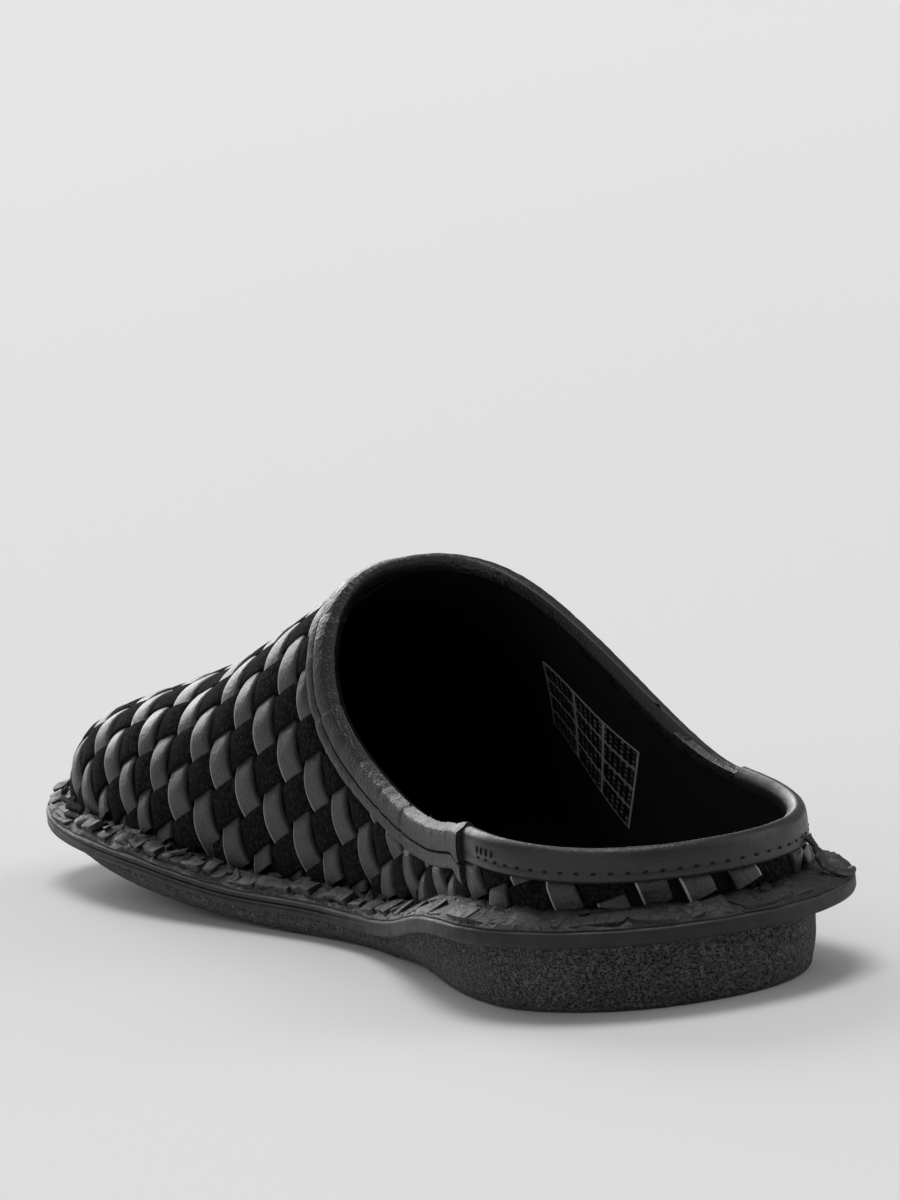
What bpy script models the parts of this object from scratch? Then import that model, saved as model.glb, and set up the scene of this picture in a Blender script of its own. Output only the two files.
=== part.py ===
"""A slip-on clog with a woven leather upper, one right shoe, as seven separate pieces.

The tables are in millimetres in the frame of the last: y runs from the back of the heel to the toe,
x to the wearer's right, z up from the ground. place() turns them into metres about the origin.
"""
import math

import bmesh
import bpy
import numpy as np
from mathutils import Vector
from mathutils.bvhtree import BVHTree

MM = 0.001
TITLE = "woven_clog"

# Plan of the flange: distance from the heel, then the half width or the middle line there.
LENGTH = 290.0
PLAN_WIDTH = [(0, 40.6), (46.4, 42.3), (121.8, 34.8), (203, 48.1), (252.3, 46.4), (290, 36.8)]
PLAN_MIDDLE = [(0, 0.0), (58, 0.0), (130.5, 7.4), (203, 9.0), (252.3, 2.4), (290, -12.1)]
HEEL_CLOSE, HEEL_POWER = 45.5, 2.2
TOE_CLOSE, TOE_POWER = 78.3, 2.7

# Heights along the shoe: underside of the flange, underside of the outsole.
FLANGE_UNDER = [(0, 14.3), (30, 14.9), (58, 14.2), (90, 8.6), (116, 4.9), (150, 4.7), (180, 5.4),
                (209, 8.5), (234, 10.4), (252, 11.2), (270, 12.4), (290, 14.4)]
GROUND_RISE = [(0, 0.0), (60, 0.0), (75, 0.5), (92, 1.2), (108, 0.4), (118, 0.0), (162, 0.0),
               (180, 0.8), (209, 3.2), (249, 7.5), (290, 12.1)]
SEAT = [(6.0, 58.0), (120.0, 160.0)]

# Insets from the flange's edge: the upper's foot, the outsole's lower and upper edges.
FOOT_IN = [(0, 9.1), (60, 8.8), (120, 6.5), (200, 6.5), (250, 6.2), (290, 6.2)]
TREAD_IN = [(0, 10.4), (28, 10.0), (55, 7.9), (85, 5.6), (115, 3.8), (200, 3.7), (290, 5.0)]
BLOCK_IN = [(0, 8.6), (28, 8.2), (55, 5.6), (85, 3.2), (115, 1.9), (200, 1.9), (290, 2.4)]

MIDSOLE_T, MIDSOLE_ROUND = 3.4, 0.7
GAP, OUT_GAP, IN_GAP = 0.3, 0.45, 0.9
WALL = 1.8
INSOLE_T = 2.6

# Ridge of the last: height, sideways place and the section's power at each distance.
RIDGE = [(40, 84.0, 0.0, 2.6), (100, 79.4, 3.0, 2.3), (147, 76.0, 3.4, 2.4), (165, 71.2, 3.4, 2.4),
         (180, 65.4, 3.5, 2.4), (197, 59.0, 3.9, 2.3), (214, 52.5, 4.4, 2.25)]
HEEL_AXIS, TOE_AXIS = 46.0, 214.0
TOE_SECTION, TOE_EASE = 2.42, 0.2

# Collar edge in side view, one row per point: left y, left z, right y, right z.
COLLAR = [(-25, 30.6, -25, 31.0), (10, 31.4, 10, 31.0), (30, 33.1, 30, 32.2), (50, 34.4, 50, 34.8),
          (68, 33.3, 65, 36.8), (84, 32.3, 80, 41.6), (99.5, 31.2, 95, 49.6), (115.5, 31.6, 110, 58.6),
          (129.5, 35.1, 122, 64.8), (140.5, 41.0, 131, 69.2), (147.5, 47.4, 138.5, 72.8),
          (152.5, 55.0, 144, 75.8), (156.5, 63.0, 148, 78.8), (159.5, 72.0, 150.5, 82.6),
          (161.5, 83.0, 152, 90.0), (164, 110.0, 154, 110.0)]
COLLAR_LEFT, COLLAR_RIGHT = -28.0, 31.0
RIM_EYE = (2.0, 84.0)
CUT_REACH, CUT_FLOOR, CUT_TOP = 6.0, 46.0, 150.0
BIND_T, BIND_FRONT, BIND_HEEL, BIND_JOIN = 1.3, 8.4, 7.0, 52.0
FOLD_LIFT, FOLD_OUT, FOLD_IN = 0.4, 0.5, 0.3

# Weave: widths of the two sets of strips, the direction of each on the flattened upper, their starts.
STRIP_A, STRIP_B = 10.15, 8.45
TURN_A, TURN_B = math.radians(-162.2), math.radians(-73.1)
START_A, START_B = -50.0, -258.1
RAISE_A, RAISE_B = 0.7, 1.0

RAND_BLOCK, RAND_HIGH, RAND_LOW, RAND_EDGE = 11.0, 4.2, 3.0, 1.5
RAND_OUT, RAND_NICK, RAND_EASE = 0.9, 1.7, 0.4

# Counts of stations.
RING, SOLE_RING = 1600, 64
ROWS, TOE_COLUMNS, VAMP_COLUMNS, QUARTER_COLUMNS, HEEL_COLUMNS = 25, 32, 36, 10, 16
QUARTER_END = 100.0
INNER_ROWS = 9
ROW_STEP = 3.2
CUT_STEPS, FRONT_STEPS, HEEL_STEPS = 100, 44, 20


def spline(rows, column=1):
    """Natural cubic spline through one column of a table against its first column."""
    x = np.array([row[0] for row in rows], float)
    y = np.array([row[column] for row in rows], float)
    n = len(x)
    h = np.diff(x)
    a = np.eye(n)
    b = np.zeros(n)
    for i in range(1, n - 1):
        a[i, i - 1:i + 2] = h[i - 1], 2 * (h[i - 1] + h[i]), h[i]
        b[i] = 6 * ((y[i + 1] - y[i]) / h[i] - (y[i] - y[i - 1]) / h[i - 1])
    m = np.linalg.solve(a, b)

    def value(v):
        w = np.clip(np.asarray(v, float), x[0], x[-1])
        i = np.clip(np.searchsorted(x, w) - 1, 0, n - 2)
        d = w - x[i]
        e = x[i + 1] - w
        bend = (m[i] * e**3 + m[i + 1] * d**3) / (6 * h[i])
        return bend + (y[i] / h[i] - m[i] * h[i] / 6) * e + (y[i + 1] / h[i] - m[i + 1] * h[i] / 6) * d

    return value


half_width, middle = spline(PLAN_WIDTH), spline(PLAN_MIDDLE)
flange_under = spline(FLANGE_UNDER)
rise_curve = spline(GROUND_RISE)
ridge_z, ridge_x, ridge_power = spline(RIDGE, 1), spline(RIDGE, 2), spline(RIDGE, 3)


def ground_rise(y):
    """Underside of the outsole, held flat on the heel seat and the forefoot seat."""
    z = np.maximum(rise_curve(y), 0.0)
    for first, last in SEAT:
        z = np.where((y > first - 8) & (y < last), 0.0, z)
    return z


def floor_z(y):
    """Top of the midsole, where the upper, the rand and the insole stand."""
    return flange_under(y) + MIDSOLE_T + GAP


def plan_ring(n):
    """Plan of the flange as a loop, from the heel along the left side to the toe and back."""
    t = np.linspace(0, 1, n // 2 + 1)
    y = LENGTH * (0.5 - 0.5 * np.cos(np.pi * t))
    heel = (1 - np.clip(1 - y / HEEL_CLOSE, 0, 1)**HEEL_POWER)**(1 / HEEL_POWER)
    toe = (1 - np.clip(1 - (LENGTH - y) / TOE_CLOSE, 0, 1)**TOE_POWER)**(1 / TOE_POWER)
    w = half_width(y) * heel * toe
    left = np.column_stack([middle(y) - w, y])
    right = np.column_stack([middle(y) + w, y])[1:-1]
    return np.vstack([left, right[::-1]])


def inset(ring, depth):
    """The loop moved inward by a depth that may differ from point to point."""
    t = np.roll(ring, -1, 0) - np.roll(ring, 1, 0)
    n = np.column_stack([t[:, 1], -t[:, 0]])
    n = n / np.linalg.norm(n, axis=1)[:, None]
    return ring + n * np.broadcast_to(depth, len(ring)).reshape(-1, 1)


PLAN = plan_ring(RING)
FOOT = inset(PLAN, spline(FOOT_IN)(PLAN[:, 1]))
MID_X = 0.5 * (PLAN[:, 0].min() + PLAN[:, 0].max())


def place(points):
    """Millimetres on the last to metres about the middle of the plan."""
    p = np.asarray(points, float) - np.array([MID_X, LENGTH / 2, 0.0])
    return p * MM


def side_x(loop, y, side):
    """Where a loop crosses the distance y on its left (-1) or right (+1)."""
    half = len(loop) // 2
    p = loop[:half + 1] if side < 0 else np.vstack([loop[half:], loop[:1]])
    order = np.argsort(p[:, 1])
    return np.interp(y, p[order, 1], p[order, 0])


def fan_reach(loop, x, y, angle):
    """Reach of a loop from a point, with the angle turned from straight ahead to the right."""
    a = np.arctan2(loop[:, 0] - x, loop[:, 1] - y)
    r = np.hypot(loop[:, 0] - x, loop[:, 1] - y)
    order = np.argsort(a)
    return np.interp(angle, a[order], r[order], period=2 * np.pi)


def stations(toe, vamp, quarter, heel):
    """Section planes round the upper: (kind, where), from the heel by the left side to the toe and back."""
    back = [("heel", a) for a in np.linspace(-math.pi, -math.pi / 2, heel // 2 + 1)[:-1]]
    side = np.concatenate([np.linspace(HEEL_AXIS, QUARTER_END, quarter + 1)[:-1],
                           np.linspace(QUARTER_END, TOE_AXIS, vamp + 1)])
    left = [("left", y) for y in side[:-1]]
    front = [("toe", a) for a in np.linspace(-math.pi / 2, math.pi / 2, toe + 1)[:-1]]
    right = [("right", y) for y in side[:0:-1]]
    end = [("heel", a) for a in np.linspace(math.pi / 2, math.pi, heel // 2 + 1)[:-1]]
    return back + left + front + right + end


STEEP = float(ridge_z(TOE_AXIS - 0.5) - ridge_z(TOE_AXIS)) / 0.5


def section(kind, where, rows, skin):
    """One half section from the foot to the ridge, rows evenly spaced, moved in by skin."""
    if kind in ("left", "right"):
        axis = np.array([ridge_x(where), where])
        way = np.array([-1.0 if kind == "left" else 1.0, 0.0])
        reach = abs(side_x(FOOT, where, way[0]) - axis[0])
        power, top, fall = ridge_power(where), ridge_z(where), 0.0
    elif kind == "toe":
        axis = np.array([ridge_x(TOE_AXIS), TOE_AXIS])
        way = np.array([math.sin(where), math.cos(where)])
        reach = fan_reach(FOOT, axis[0], axis[1], where)
        side = math.sin(where)**2
        power = TOE_SECTION + (ridge_power(TOE_AXIS) - TOE_SECTION) * side
        top, fall = ridge_z(TOE_AXIS), STEEP * math.cos(where)
    else:
        axis = np.array([ridge_x(HEEL_AXIS), HEEL_AXIS])
        way = np.array([math.sin(where), math.cos(where)])
        reach = fan_reach(FOOT, axis[0], axis[1], where)
        power, top, fall = ridge_power(HEEL_AXIS), ridge_z(HEEL_AXIS), 0.0
    foot_y = axis[1] + way[1] * reach
    low = floor_z(foot_y)
    t = np.linspace(0, math.pi / 2, 241)
    share = np.cos(t)**(2 / power)
    r = (reach - skin) * share
    drop = fall * reach * (share - (1 - TOE_EASE) * share**2)
    z = low + (top - skin - drop - low) * np.sin(t)**(2 / power)
    run = np.concatenate([[0], np.cumsum(np.hypot(np.diff(r), np.diff(z)))])
    s = np.linspace(0, run[-1], rows)
    r = np.interp(s, run, r)
    r[-1] = 0.0
    z = np.interp(s, run, z)
    points = np.column_stack([axis[0] + way[0] * r, axis[1] + way[1] * r, z])
    return points, run[-1] - s, s


def weave_place(kind, where, from_ridge, from_foot):
    """Flattened place of a point of a section: across the ridge and along it."""
    if kind == "toe":
        return from_ridge * math.sin(where), TOE_AXIS + from_ridge * math.cos(where)
    if kind in ("left", "right"):
        side = -1.0 if kind == "left" else 1.0
        return side * from_ridge, np.full(len(from_ridge), where)
    side = -1.0 if where < 0 else 1.0
    across = HEEL_ARC[0] - from_foot
    along = HEEL_AXIS - np.interp(abs(where), HEEL_ARC[1], HEEL_ARC[2])
    return side * across, np.full(len(from_foot), along)


def heel_arc():
    """Length of a section at the heel axis, and the run of the foot round the heel against the angle."""
    whole = section("left", HEEL_AXIS, 9, 0.0)[1][0]
    a = np.linspace(math.pi / 2, math.pi, 61)
    r = fan_reach(FOOT, float(ridge_x(HEEL_AXIS)), HEEL_AXIS, a)
    p = np.column_stack([r * np.sin(a), r * np.cos(a)])
    run = np.concatenate([[0], np.cumsum(np.linalg.norm(np.diff(p, axis=0), axis=1))])
    return whole, a, run


HEEL_ARC = heel_arc()


def weave_height(across, along):
    """Raise of the woven strips at a flattened place."""
    a = (across * math.cos(TURN_A) + along * math.sin(TURN_A) - START_A) / STRIP_A
    b = (across * math.cos(TURN_B) + along * math.sin(TURN_B) - START_B) / STRIP_B
    odd = (np.floor(a) + np.floor(b)) % 2
    wave_a = np.sin(math.pi * (a % 1.0))
    wave_b = np.sin(math.pi * (b % 1.0))
    over_a = RAISE_A * wave_a**0.4 * wave_b**0.8
    over_b = RAISE_B * wave_b**0.4 * wave_a**0.8
    return np.where(odd > 0.5, over_a, over_b)


def collar_line(share, count):
    """Collar edge in side view at a share of the way from left to right."""
    rows = np.array(COLLAR, float)
    t = np.arange(len(rows))
    fine = np.linspace(0, len(rows) - 1, count)
    curve = [spline(list(zip(t, rows[:, k])))(fine) for k in range(4)]
    left = np.column_stack(curve[:2])
    right = np.column_stack(curve[2:])
    return left * (1 - share) + right * share


COLLAR_STEPS = 46
LEFT_EDGE = collar_line(0.0, COLLAR_STEPS)
RIGHT_EDGE = collar_line(1.0, COLLAR_STEPS)


def above_collar(points):
    """Signed distance in side view from the collar edge, plus where the wall is cut away."""
    p = np.asarray(points, float).reshape(-1, 3)
    share = np.clip((p[:, 0] - COLLAR_LEFT) / (COLLAR_RIGHT - COLLAR_LEFT), 0, 1)
    edge = LEFT_EDGE[None] * (1 - share)[:, None, None] + RIGHT_EDGE[None] * share[:, None, None]
    a, b = edge[:, :-1], edge[:, 1:]
    way = b - a
    off = p[:, None, 1:] - a
    t = np.clip((off * way).sum(2) / (way**2).sum(2), 0, 1)
    gap = off - t[..., None] * way
    far = np.hypot(gap[..., 0], gap[..., 1])
    k = far.argmin(1)
    i = np.arange(len(p))
    turn = way[i, k, 0] * gap[i, k, 1] - way[i, k, 1] * gap[i, k, 0]
    return far[i, k] * np.where(turn > 0, 1.0, -1.0)


def smooth_step(v, low, high):
    t = np.clip((v - low) / (high - low), 0, 1)
    return t * t * (3 - 2 * t)


def skin_grid(planes, rows, skin, woven):
    """Grid of points of the last, one line per section plane, with the weave raised if asked for."""
    lines = []
    places = []
    for kind, where in planes:
        points, from_ridge, from_foot = section(kind, where, rows, skin)
        lines.append(points)
        places.append(np.column_stack(weave_place(kind, where, from_ridge, from_foot)))
    grid = np.array(lines)
    if not woven:
        return grid
    flat = np.array(places)
    raise_by = weave_height(flat[..., 0], flat[..., 1])
    below = -above_collar(grid.reshape(-1, 3)).reshape(grid.shape[:2])
    raise_by = raise_by * smooth_step(below, BIND_FRONT + 0.6, BIND_FRONT + 3.0)
    foot = np.arange(rows)[None] * ROW_STEP
    raise_by = raise_by * smooth_step(foot, 3.0, 8.0)
    u = np.roll(grid, -1, 0) - np.roll(grid, 1, 0)
    v = np.gradient(grid, axis=1)
    n = np.cross(v, u)
    size = np.linalg.norm(n, axis=2, keepdims=True)
    n = n / np.maximum(size, 1e-9)
    n[:, -1] = (0.0, 0.0, 1.0)
    return grid + n * raise_by[..., None]


def new_piece(name, points, faces, colour, roughness, where=None):
    """A mesh object in metres with its own material."""
    mesh = bpy.data.meshes.new(name)
    mesh.from_pydata([tuple(p) for p in place(points)], [], [tuple(f) for f in faces])
    work = bmesh.new()
    work.from_mesh(mesh)
    bmesh.ops.remove_doubles(work, verts=work.verts, dist=2e-6)
    bmesh.ops.recalc_face_normals(work, faces=work.faces)
    bmesh.ops.triangulate(work, faces=work.faces)
    work.to_mesh(mesh)
    work.free()
    piece = bpy.data.objects.new(name, mesh)
    (where or PARTS).objects.link(piece)
    if colour:
        stuff = bpy.data.materials.new(name + "_stuff")
        stuff.use_nodes = True
        shader = stuff.node_tree.nodes["Principled BSDF"]
        shader.inputs["Base Color"].default_value = (*colour, 1.0)
        shader.inputs["Roughness"].default_value = roughness
        shader.inputs["Metallic"].default_value = 0.0
        mesh.materials.append(stuff)
    return piece


def ring_loft(rings):
    """Faces for loops stacked from below to above, with the first and last closed across."""
    n = len(rings[0])
    points = np.vstack(rings)
    faces = []
    for k in range(len(rings) - 1):
        for i in range(n):
            j = (i + 1) % n
            faces.append((k * n + i, k * n + j, (k + 1) * n + j, (k + 1) * n + i))
    half = n // 2
    for base in (0, (len(rings) - 1) * n):
        for i in range(half):
            loop = [base + i, base + i + 1, base + (n - i - 1) % n, base + (n - i) % n]
            faces.append(tuple(dict.fromkeys(loop)))
    return points, faces


def level_ring(ring, depth, height):
    """A loop at an inset, with its height worked out from its own distance along the shoe."""
    loop = inset(ring, depth)
    return np.column_stack([loop, height(loop[:, 1])])


def make_outsole():
    ring = plan_ring(SOLE_RING)
    y = ring[:, 1]
    tread = spline(TREAD_IN)(y)
    block = spline(BLOCK_IN)(y)
    top = level_ring(ring, block, lambda v: flange_under(v) - GAP)
    base = level_ring(ring, tread + 1.0, ground_rise)
    foot = level_ring(ring, tread, lambda v: ground_rise(v) + 1.0)

    def between(share, out):
        loop = inset(ring, tread + (block - tread) * share - out)
        z = foot[:, 2] + (top[:, 2] - foot[:, 2]) * share
        return np.column_stack([loop, z])

    rings = [base, foot, between(0.35, 0.5), between(0.72, 0.4), between(0.86, 0.0), top]
    points, faces = ring_loft(rings)
    return new_piece("outsole", points, faces, (0.020, 0.020, 0.021), 0.82)


def make_midsole():
    ring = plan_ring(SOLE_RING)
    c = MIDSOLE_ROUND
    rings = [level_ring(ring, c, flange_under),
             level_ring(ring, 0.0, lambda v: flange_under(v) + c),
             level_ring(ring, 0.0, lambda v: flange_under(v) + MIDSOLE_T - c),
             level_ring(ring, c, lambda v: flange_under(v) + MIDSOLE_T)]
    points, faces = ring_loft(rings)
    return new_piece("midsole", points, faces, (0.024, 0.024, 0.026), 0.45)


def make_insole():
    ring = plan_ring(SOLE_RING)
    foot = spline(FOOT_IN)(ring[:, 1])
    depth = foot + WALL + 1.0 + 1.8 * smooth_step(ring[:, 1], TOE_AXIS, TOE_AXIS + 50)
    rings = [level_ring(ring, depth, floor_z),
             level_ring(ring, depth, lambda v: floor_z(v) + INSOLE_T - 0.6),
             level_ring(ring, depth + 0.8, lambda v: floor_z(v) + INSOLE_T)]
    points, faces = ring_loft(rings)
    return new_piece("insole", points, faces, (0.012, 0.012, 0.013), 0.5)


def along_loop(loop, count):
    """A closed loop resampled to a number of even steps, with the run at each."""
    closed = np.vstack([loop, loop[:1]])
    run = np.concatenate([[0], np.cumsum(np.linalg.norm(np.diff(closed, axis=0), axis=1))])
    s = np.linspace(0, run[-1], count + 1)[:-1]
    return np.column_stack([np.interp(s, run, closed[:, k]) for k in range(loop.shape[1])])


def make_rand():
    whole = np.linalg.norm(PLAN - np.roll(PLAN, -1, 0), axis=1).sum()
    blocks = int(round(whole / RAND_BLOCK))
    ring = along_loop(PLAN, blocks * 3)
    foot = spline(FOOT_IN)(ring[:, 1])
    step = np.arange(len(ring)) % 3
    high = np.where(step < 2, RAND_HIGH, RAND_LOW)
    out = np.where(step < 2, RAND_OUT, RAND_NICK)

    def loop(depth, lift):
        p = inset(ring, depth)
        return np.column_stack([p, floor_z(p[:, 1]) + lift])

    inner = foot - GAP - RAND_EASE
    rings = [loop(inner, 0.0), loop(out, 0.0), loop(out + RAND_EASE, RAND_EDGE), loop(inner, high)]
    n = len(ring)
    points = np.vstack(rings)
    count = len(rings)
    faces = []
    for k in range(count):
        m = (k + 1) % count
        for i in range(n):
            j = (i + 1) % n
            faces.append((k * n + i, k * n + j, m * n + j, m * n + i))
    return new_piece("rand", points, faces, (0.020, 0.020, 0.021), 0.6)


def grid_faces(columns, rows, start):
    """Quads of a grid that closes round its columns."""
    faces = []
    for i in range(columns):
        j = (i + 1) % columns
        for k in range(rows - 1):
            faces.append((start + i * rows + k, start + j * rows + k,
                          start + j * rows + k + 1, start + i * rows + k + 1))
    return faces


def make_upper():
    planes = stations(TOE_COLUMNS, VAMP_COLUMNS, QUARTER_COLUMNS, HEEL_COLUMNS)
    outer = skin_grid(planes, ROWS, 0.0, True)
    inner = skin_grid(planes[::2], INNER_ROWS, WALL, False)
    n, m = len(outer), len(inner)
    start = n * ROWS
    points = np.vstack([outer.reshape(-1, 3), inner.reshape(-1, 3)])
    faces = grid_faces(n, ROWS, 0) + grid_faces(m, INNER_ROWS, start)
    for i in range(m):
        j = (i + 1) % m
        a, b, c = 2 * i * ROWS, (2 * i + 1) * ROWS, (2 * i + 2) % n * ROWS
        d, e = start + i * INNER_ROWS, start + j * INNER_ROWS
        faces += [(a, b, d), (b, e, d), (b, c, e)]
    upper = new_piece("upper", points, faces, (0.018, 0.018, 0.019), 0.5)
    cutter = make_cutter()
    cut = upper.modifiers.new("collar", "BOOLEAN")
    cut.operation = "DIFFERENCE"
    cut.solver = "EXACT"
    cut.object = cutter
    bpy.context.view_layer.objects.active = upper
    bpy.ops.object.modifier_apply(modifier=cut.name)
    work = bmesh.new()
    work.from_mesh(upper.data)
    bmesh.ops.triangulate(work, faces=work.faces)
    bmesh.ops.dissolve_degenerate(work, edges=work.edges, dist=2e-5)
    bmesh.ops.triangulate(work, faces=work.faces)
    work.to_mesh(upper.data)
    work.free()
    return upper


def make_cutter():
    """The space above the collar edge, bounded below by a ribbon square to the wall."""
    line = along_loop(RIM, CUT_STEPS)
    out = np.array([wall_normal(p) for p in line])
    loops = [line - out * CUT_REACH, line + out * CUT_REACH]
    wide = loops[1].copy()
    wide[:, :2] += out[:, :2] * CUT_REACH
    wide[:, 2] = CUT_TOP
    loops.append(wide)
    points = np.vstack(loops + [[(*RIM_EYE, CUT_FLOOR)], [(*RIM_EYE, CUT_TOP)]])
    n = len(line)
    faces = []
    for i in range(n):
        j = (i + 1) % n
        faces.append((3 * n, j, i))
        faces.append((3 * n + 1, 2 * n + i, 2 * n + j))
        for k in range(2):
            faces.append((k * n + i, k * n + j, (k + 1) * n + j, (k + 1) * n + i))
    cutter = new_piece("collar_cutter", points, faces, None, 0.0, TOOLS)
    cutter.hide_render = True
    cutter.display_type = "WIRE"
    return cutter


def tree_of(grid):
    """Search tree over a grid of points, in millimetres."""
    n, rows = grid.shape[:2]
    quads = grid_faces(n, rows, 0)
    return BVHTree.FromPolygons([tuple(p) for p in grid.reshape(-1, 3)], quads)


def wall_normal(p):
    """Outward direction of the upper's wall near a point."""
    spot, normal, _, _ = OUT_TREE.find_nearest(Vector(p))
    outward = spot - Vector((*RIM_EYE, 20.0))
    return np.array(normal if normal.dot(outward) > 0 else -normal)


def rim_loop(grid):
    """The collar edge on a grid of the last, as an ordered loop from the heel by the left side."""
    n, rows = grid.shape[:2]
    g = above_collar(grid.reshape(-1, 3)).reshape(n, rows)
    found = []
    for di, dk in ((0, 1), (1, 0)):
        other = np.roll(g, -di, 0)
        there = np.roll(grid, -di, 0)
        if dk:
            here, g0, there, other = grid[:, :-1], g[:, :-1], grid[:, 1:], g[:, 1:]
        else:
            here, g0 = grid, g
        cross = (g0 < 0) != (other < 0)
        t = (g0 / (g0 - other + 1e-12))[..., None]
        found.append((here + (there - here) * t)[cross])
    points = np.vstack(found)
    angle = np.arctan2(points[:, 0] - RIM_EYE[0], RIM_EYE[1] - points[:, 1])
    order = np.argsort(-angle)
    angle, points = -angle[order], points[order]
    even = np.linspace(-math.pi, math.pi, 721)[:-1]
    loop = np.column_stack([np.interp(even, angle, points[:, k], period=2 * math.pi) for k in range(3)])
    for _ in range(3):
        loop = (np.roll(loop, 1, 0) + 2 * loop + np.roll(loop, -1, 0)) / 4
    return along_loop(loop, 720)


def make_bindings():
    front = np.where(RIM[:, 1] > BIND_JOIN)[0]
    first = front[np.argmax(np.diff(np.concatenate([[front[-1] - len(RIM)], front])))]
    rolled = np.roll(RIM, -first, 0)
    split = len(front)
    gap = 0.5 * GAP
    pieces = []
    for name, part, depth, steps, tone in (
            ("collar_binding_front", rolled[:split], BIND_FRONT, FRONT_STEPS, (0.028, 0.028, 0.030)),
            ("collar_binding_heel", rolled[split:], BIND_HEEL, HEEL_STEPS, (0.026, 0.026, 0.028))):
        run = np.concatenate([[0], np.cumsum(np.linalg.norm(np.diff(part, axis=0), axis=1))])
        s = np.linspace(gap + 0.3, run[-1] - gap - 0.3, steps)
        line = np.column_stack([np.interp(s, run, part[:, k]) for k in range(3)])
        points, faces = bind_loft(line, depth)
        pieces.append(new_piece(name, points, faces, tone, 0.42))
    return pieces


def bind_loft(line, depth):
    """A folded strip over the edge: one closed section per station of the line."""
    way = np.gradient(line, axis=0)
    sections = []
    for p, t in zip(line, way):
        spot = Vector(p)
        normal = Vector(wall_normal(p))
        down = normal.cross(Vector(t)).normalized()
        if above_collar([spot + down * 3.0])[0] > above_collar([spot - down * 3.0])[0]:
            down = -down
        legs = []
        for tree, side, length, gap in ((OUT_TREE, 1.0, depth, OUT_GAP), (IN_TREE, -1.0, depth - 1.6, IN_GAP)):
            near, far = [], []
            for share in (0.0, 0.5, 1.0):
                hit, lean, _, _ = tree.find_nearest(spot + down * (length * share))
                if lean.dot(normal) < 0:
                    lean = -lean
                near.append(hit + lean * side * gap)
                far.append(hit + lean * side * (gap + BIND_T))
            legs.append((near, far))
        (o_near, o_far), (i_near, i_far) = legs
        lift = -down
        crest = lift * (GAP + BIND_T)
        body = [o_far[2], o_far[1], o_far[0] + lift * FOLD_LIFT]
        body += [o_near[0] + crest + normal * FOLD_OUT, i_near[0] + crest - normal * FOLD_IN]
        body += [i_far[0] + lift * FOLD_LIFT, i_far[1], i_far[2]]
        body += [i_near[2], i_near[1], i_near[0] + lift * GAP]
        body += [o_near[0] + lift * GAP, o_near[1], o_near[2]]
        sections.append([tuple(v) for v in body])
    n = len(sections[0])
    points = np.array(sections).reshape(-1, 3)
    faces = []
    for k in range(len(sections) - 1):
        for i in range(n):
            j = (i + 1) % n
            faces.append((k * n + i, k * n + j, (k + 1) * n + j, (k + 1) * n + i))
    last = (len(sections) - 1) * n
    for base in (0, last):
        for a, b, c, d in ((0, 1, 12, 13), (1, 2, 11, 12), (2, 3, 11, 11), (3, 4, 10, 11),
                           (4, 5, 10, 10), (5, 6, 9, 10), (6, 7, 8, 9)):
            faces.append(tuple(dict.fromkeys(base + v for v in (a, b, c, d))))
    return points, faces


for old in list(bpy.data.objects):
    bpy.data.objects.remove(old, do_unlink=True)
PARTS = bpy.data.collections.new(TITLE)
TOOLS = bpy.data.collections.new("cutters")
bpy.context.scene.collection.children.link(PARTS)
bpy.context.scene.collection.children.link(TOOLS)

FINE_PLANES = stations(80, 76, 36, 60)
OUT_GRID = skin_grid(FINE_PLANES, 90, 0.0, False)
OUT_TREE, IN_TREE = tree_of(OUT_GRID), tree_of(skin_grid(FINE_PLANES, 90, WALL, False))
RIM = rim_loop(OUT_GRID)

make_outsole()
make_midsole()
make_insole()
make_rand()
make_upper()
make_bindings()
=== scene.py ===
import math
import random

import bmesh
import bpy
import numpy as np
from mathutils import Matrix, Vector, noise
from mathutils.bvhtree import BVHTree


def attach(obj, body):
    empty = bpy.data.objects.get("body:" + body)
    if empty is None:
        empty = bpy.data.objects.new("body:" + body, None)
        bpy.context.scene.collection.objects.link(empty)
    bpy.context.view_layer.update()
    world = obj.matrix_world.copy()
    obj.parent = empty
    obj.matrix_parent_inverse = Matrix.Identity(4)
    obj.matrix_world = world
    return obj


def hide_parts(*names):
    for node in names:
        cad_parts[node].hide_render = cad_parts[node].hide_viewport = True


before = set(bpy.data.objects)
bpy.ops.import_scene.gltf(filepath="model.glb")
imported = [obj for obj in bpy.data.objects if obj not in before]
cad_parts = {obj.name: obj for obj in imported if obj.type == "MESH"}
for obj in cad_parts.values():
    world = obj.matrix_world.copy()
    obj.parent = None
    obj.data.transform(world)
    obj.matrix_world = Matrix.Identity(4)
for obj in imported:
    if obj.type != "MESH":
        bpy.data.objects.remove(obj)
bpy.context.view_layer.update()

# Woven leather clog. Lengths are millimetres on the last: y runs from the back of the heel to the toe,
# x to the wearer's right and z up. place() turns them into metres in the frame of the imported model.

MM = 0.001
LENGTH = 290.0

# Half width and middle line of the flange in plan.
PLAN_WIDTH = [(0, 40.6), (46.4, 42.3), (121.8, 34.8), (203, 48.1), (252.3, 46.4), (290, 36.8)]
PLAN_MIDDLE = [(0, 0), (58, 0), (130.5, 7.4), (203, 9), (252.3, 2.4), (290, -12.1)]
HEEL_CLOSE, HEEL_POWER = 45.5, 2.2
TOE_CLOSE, TOE_POWER = 78.3, 2.7

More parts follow.
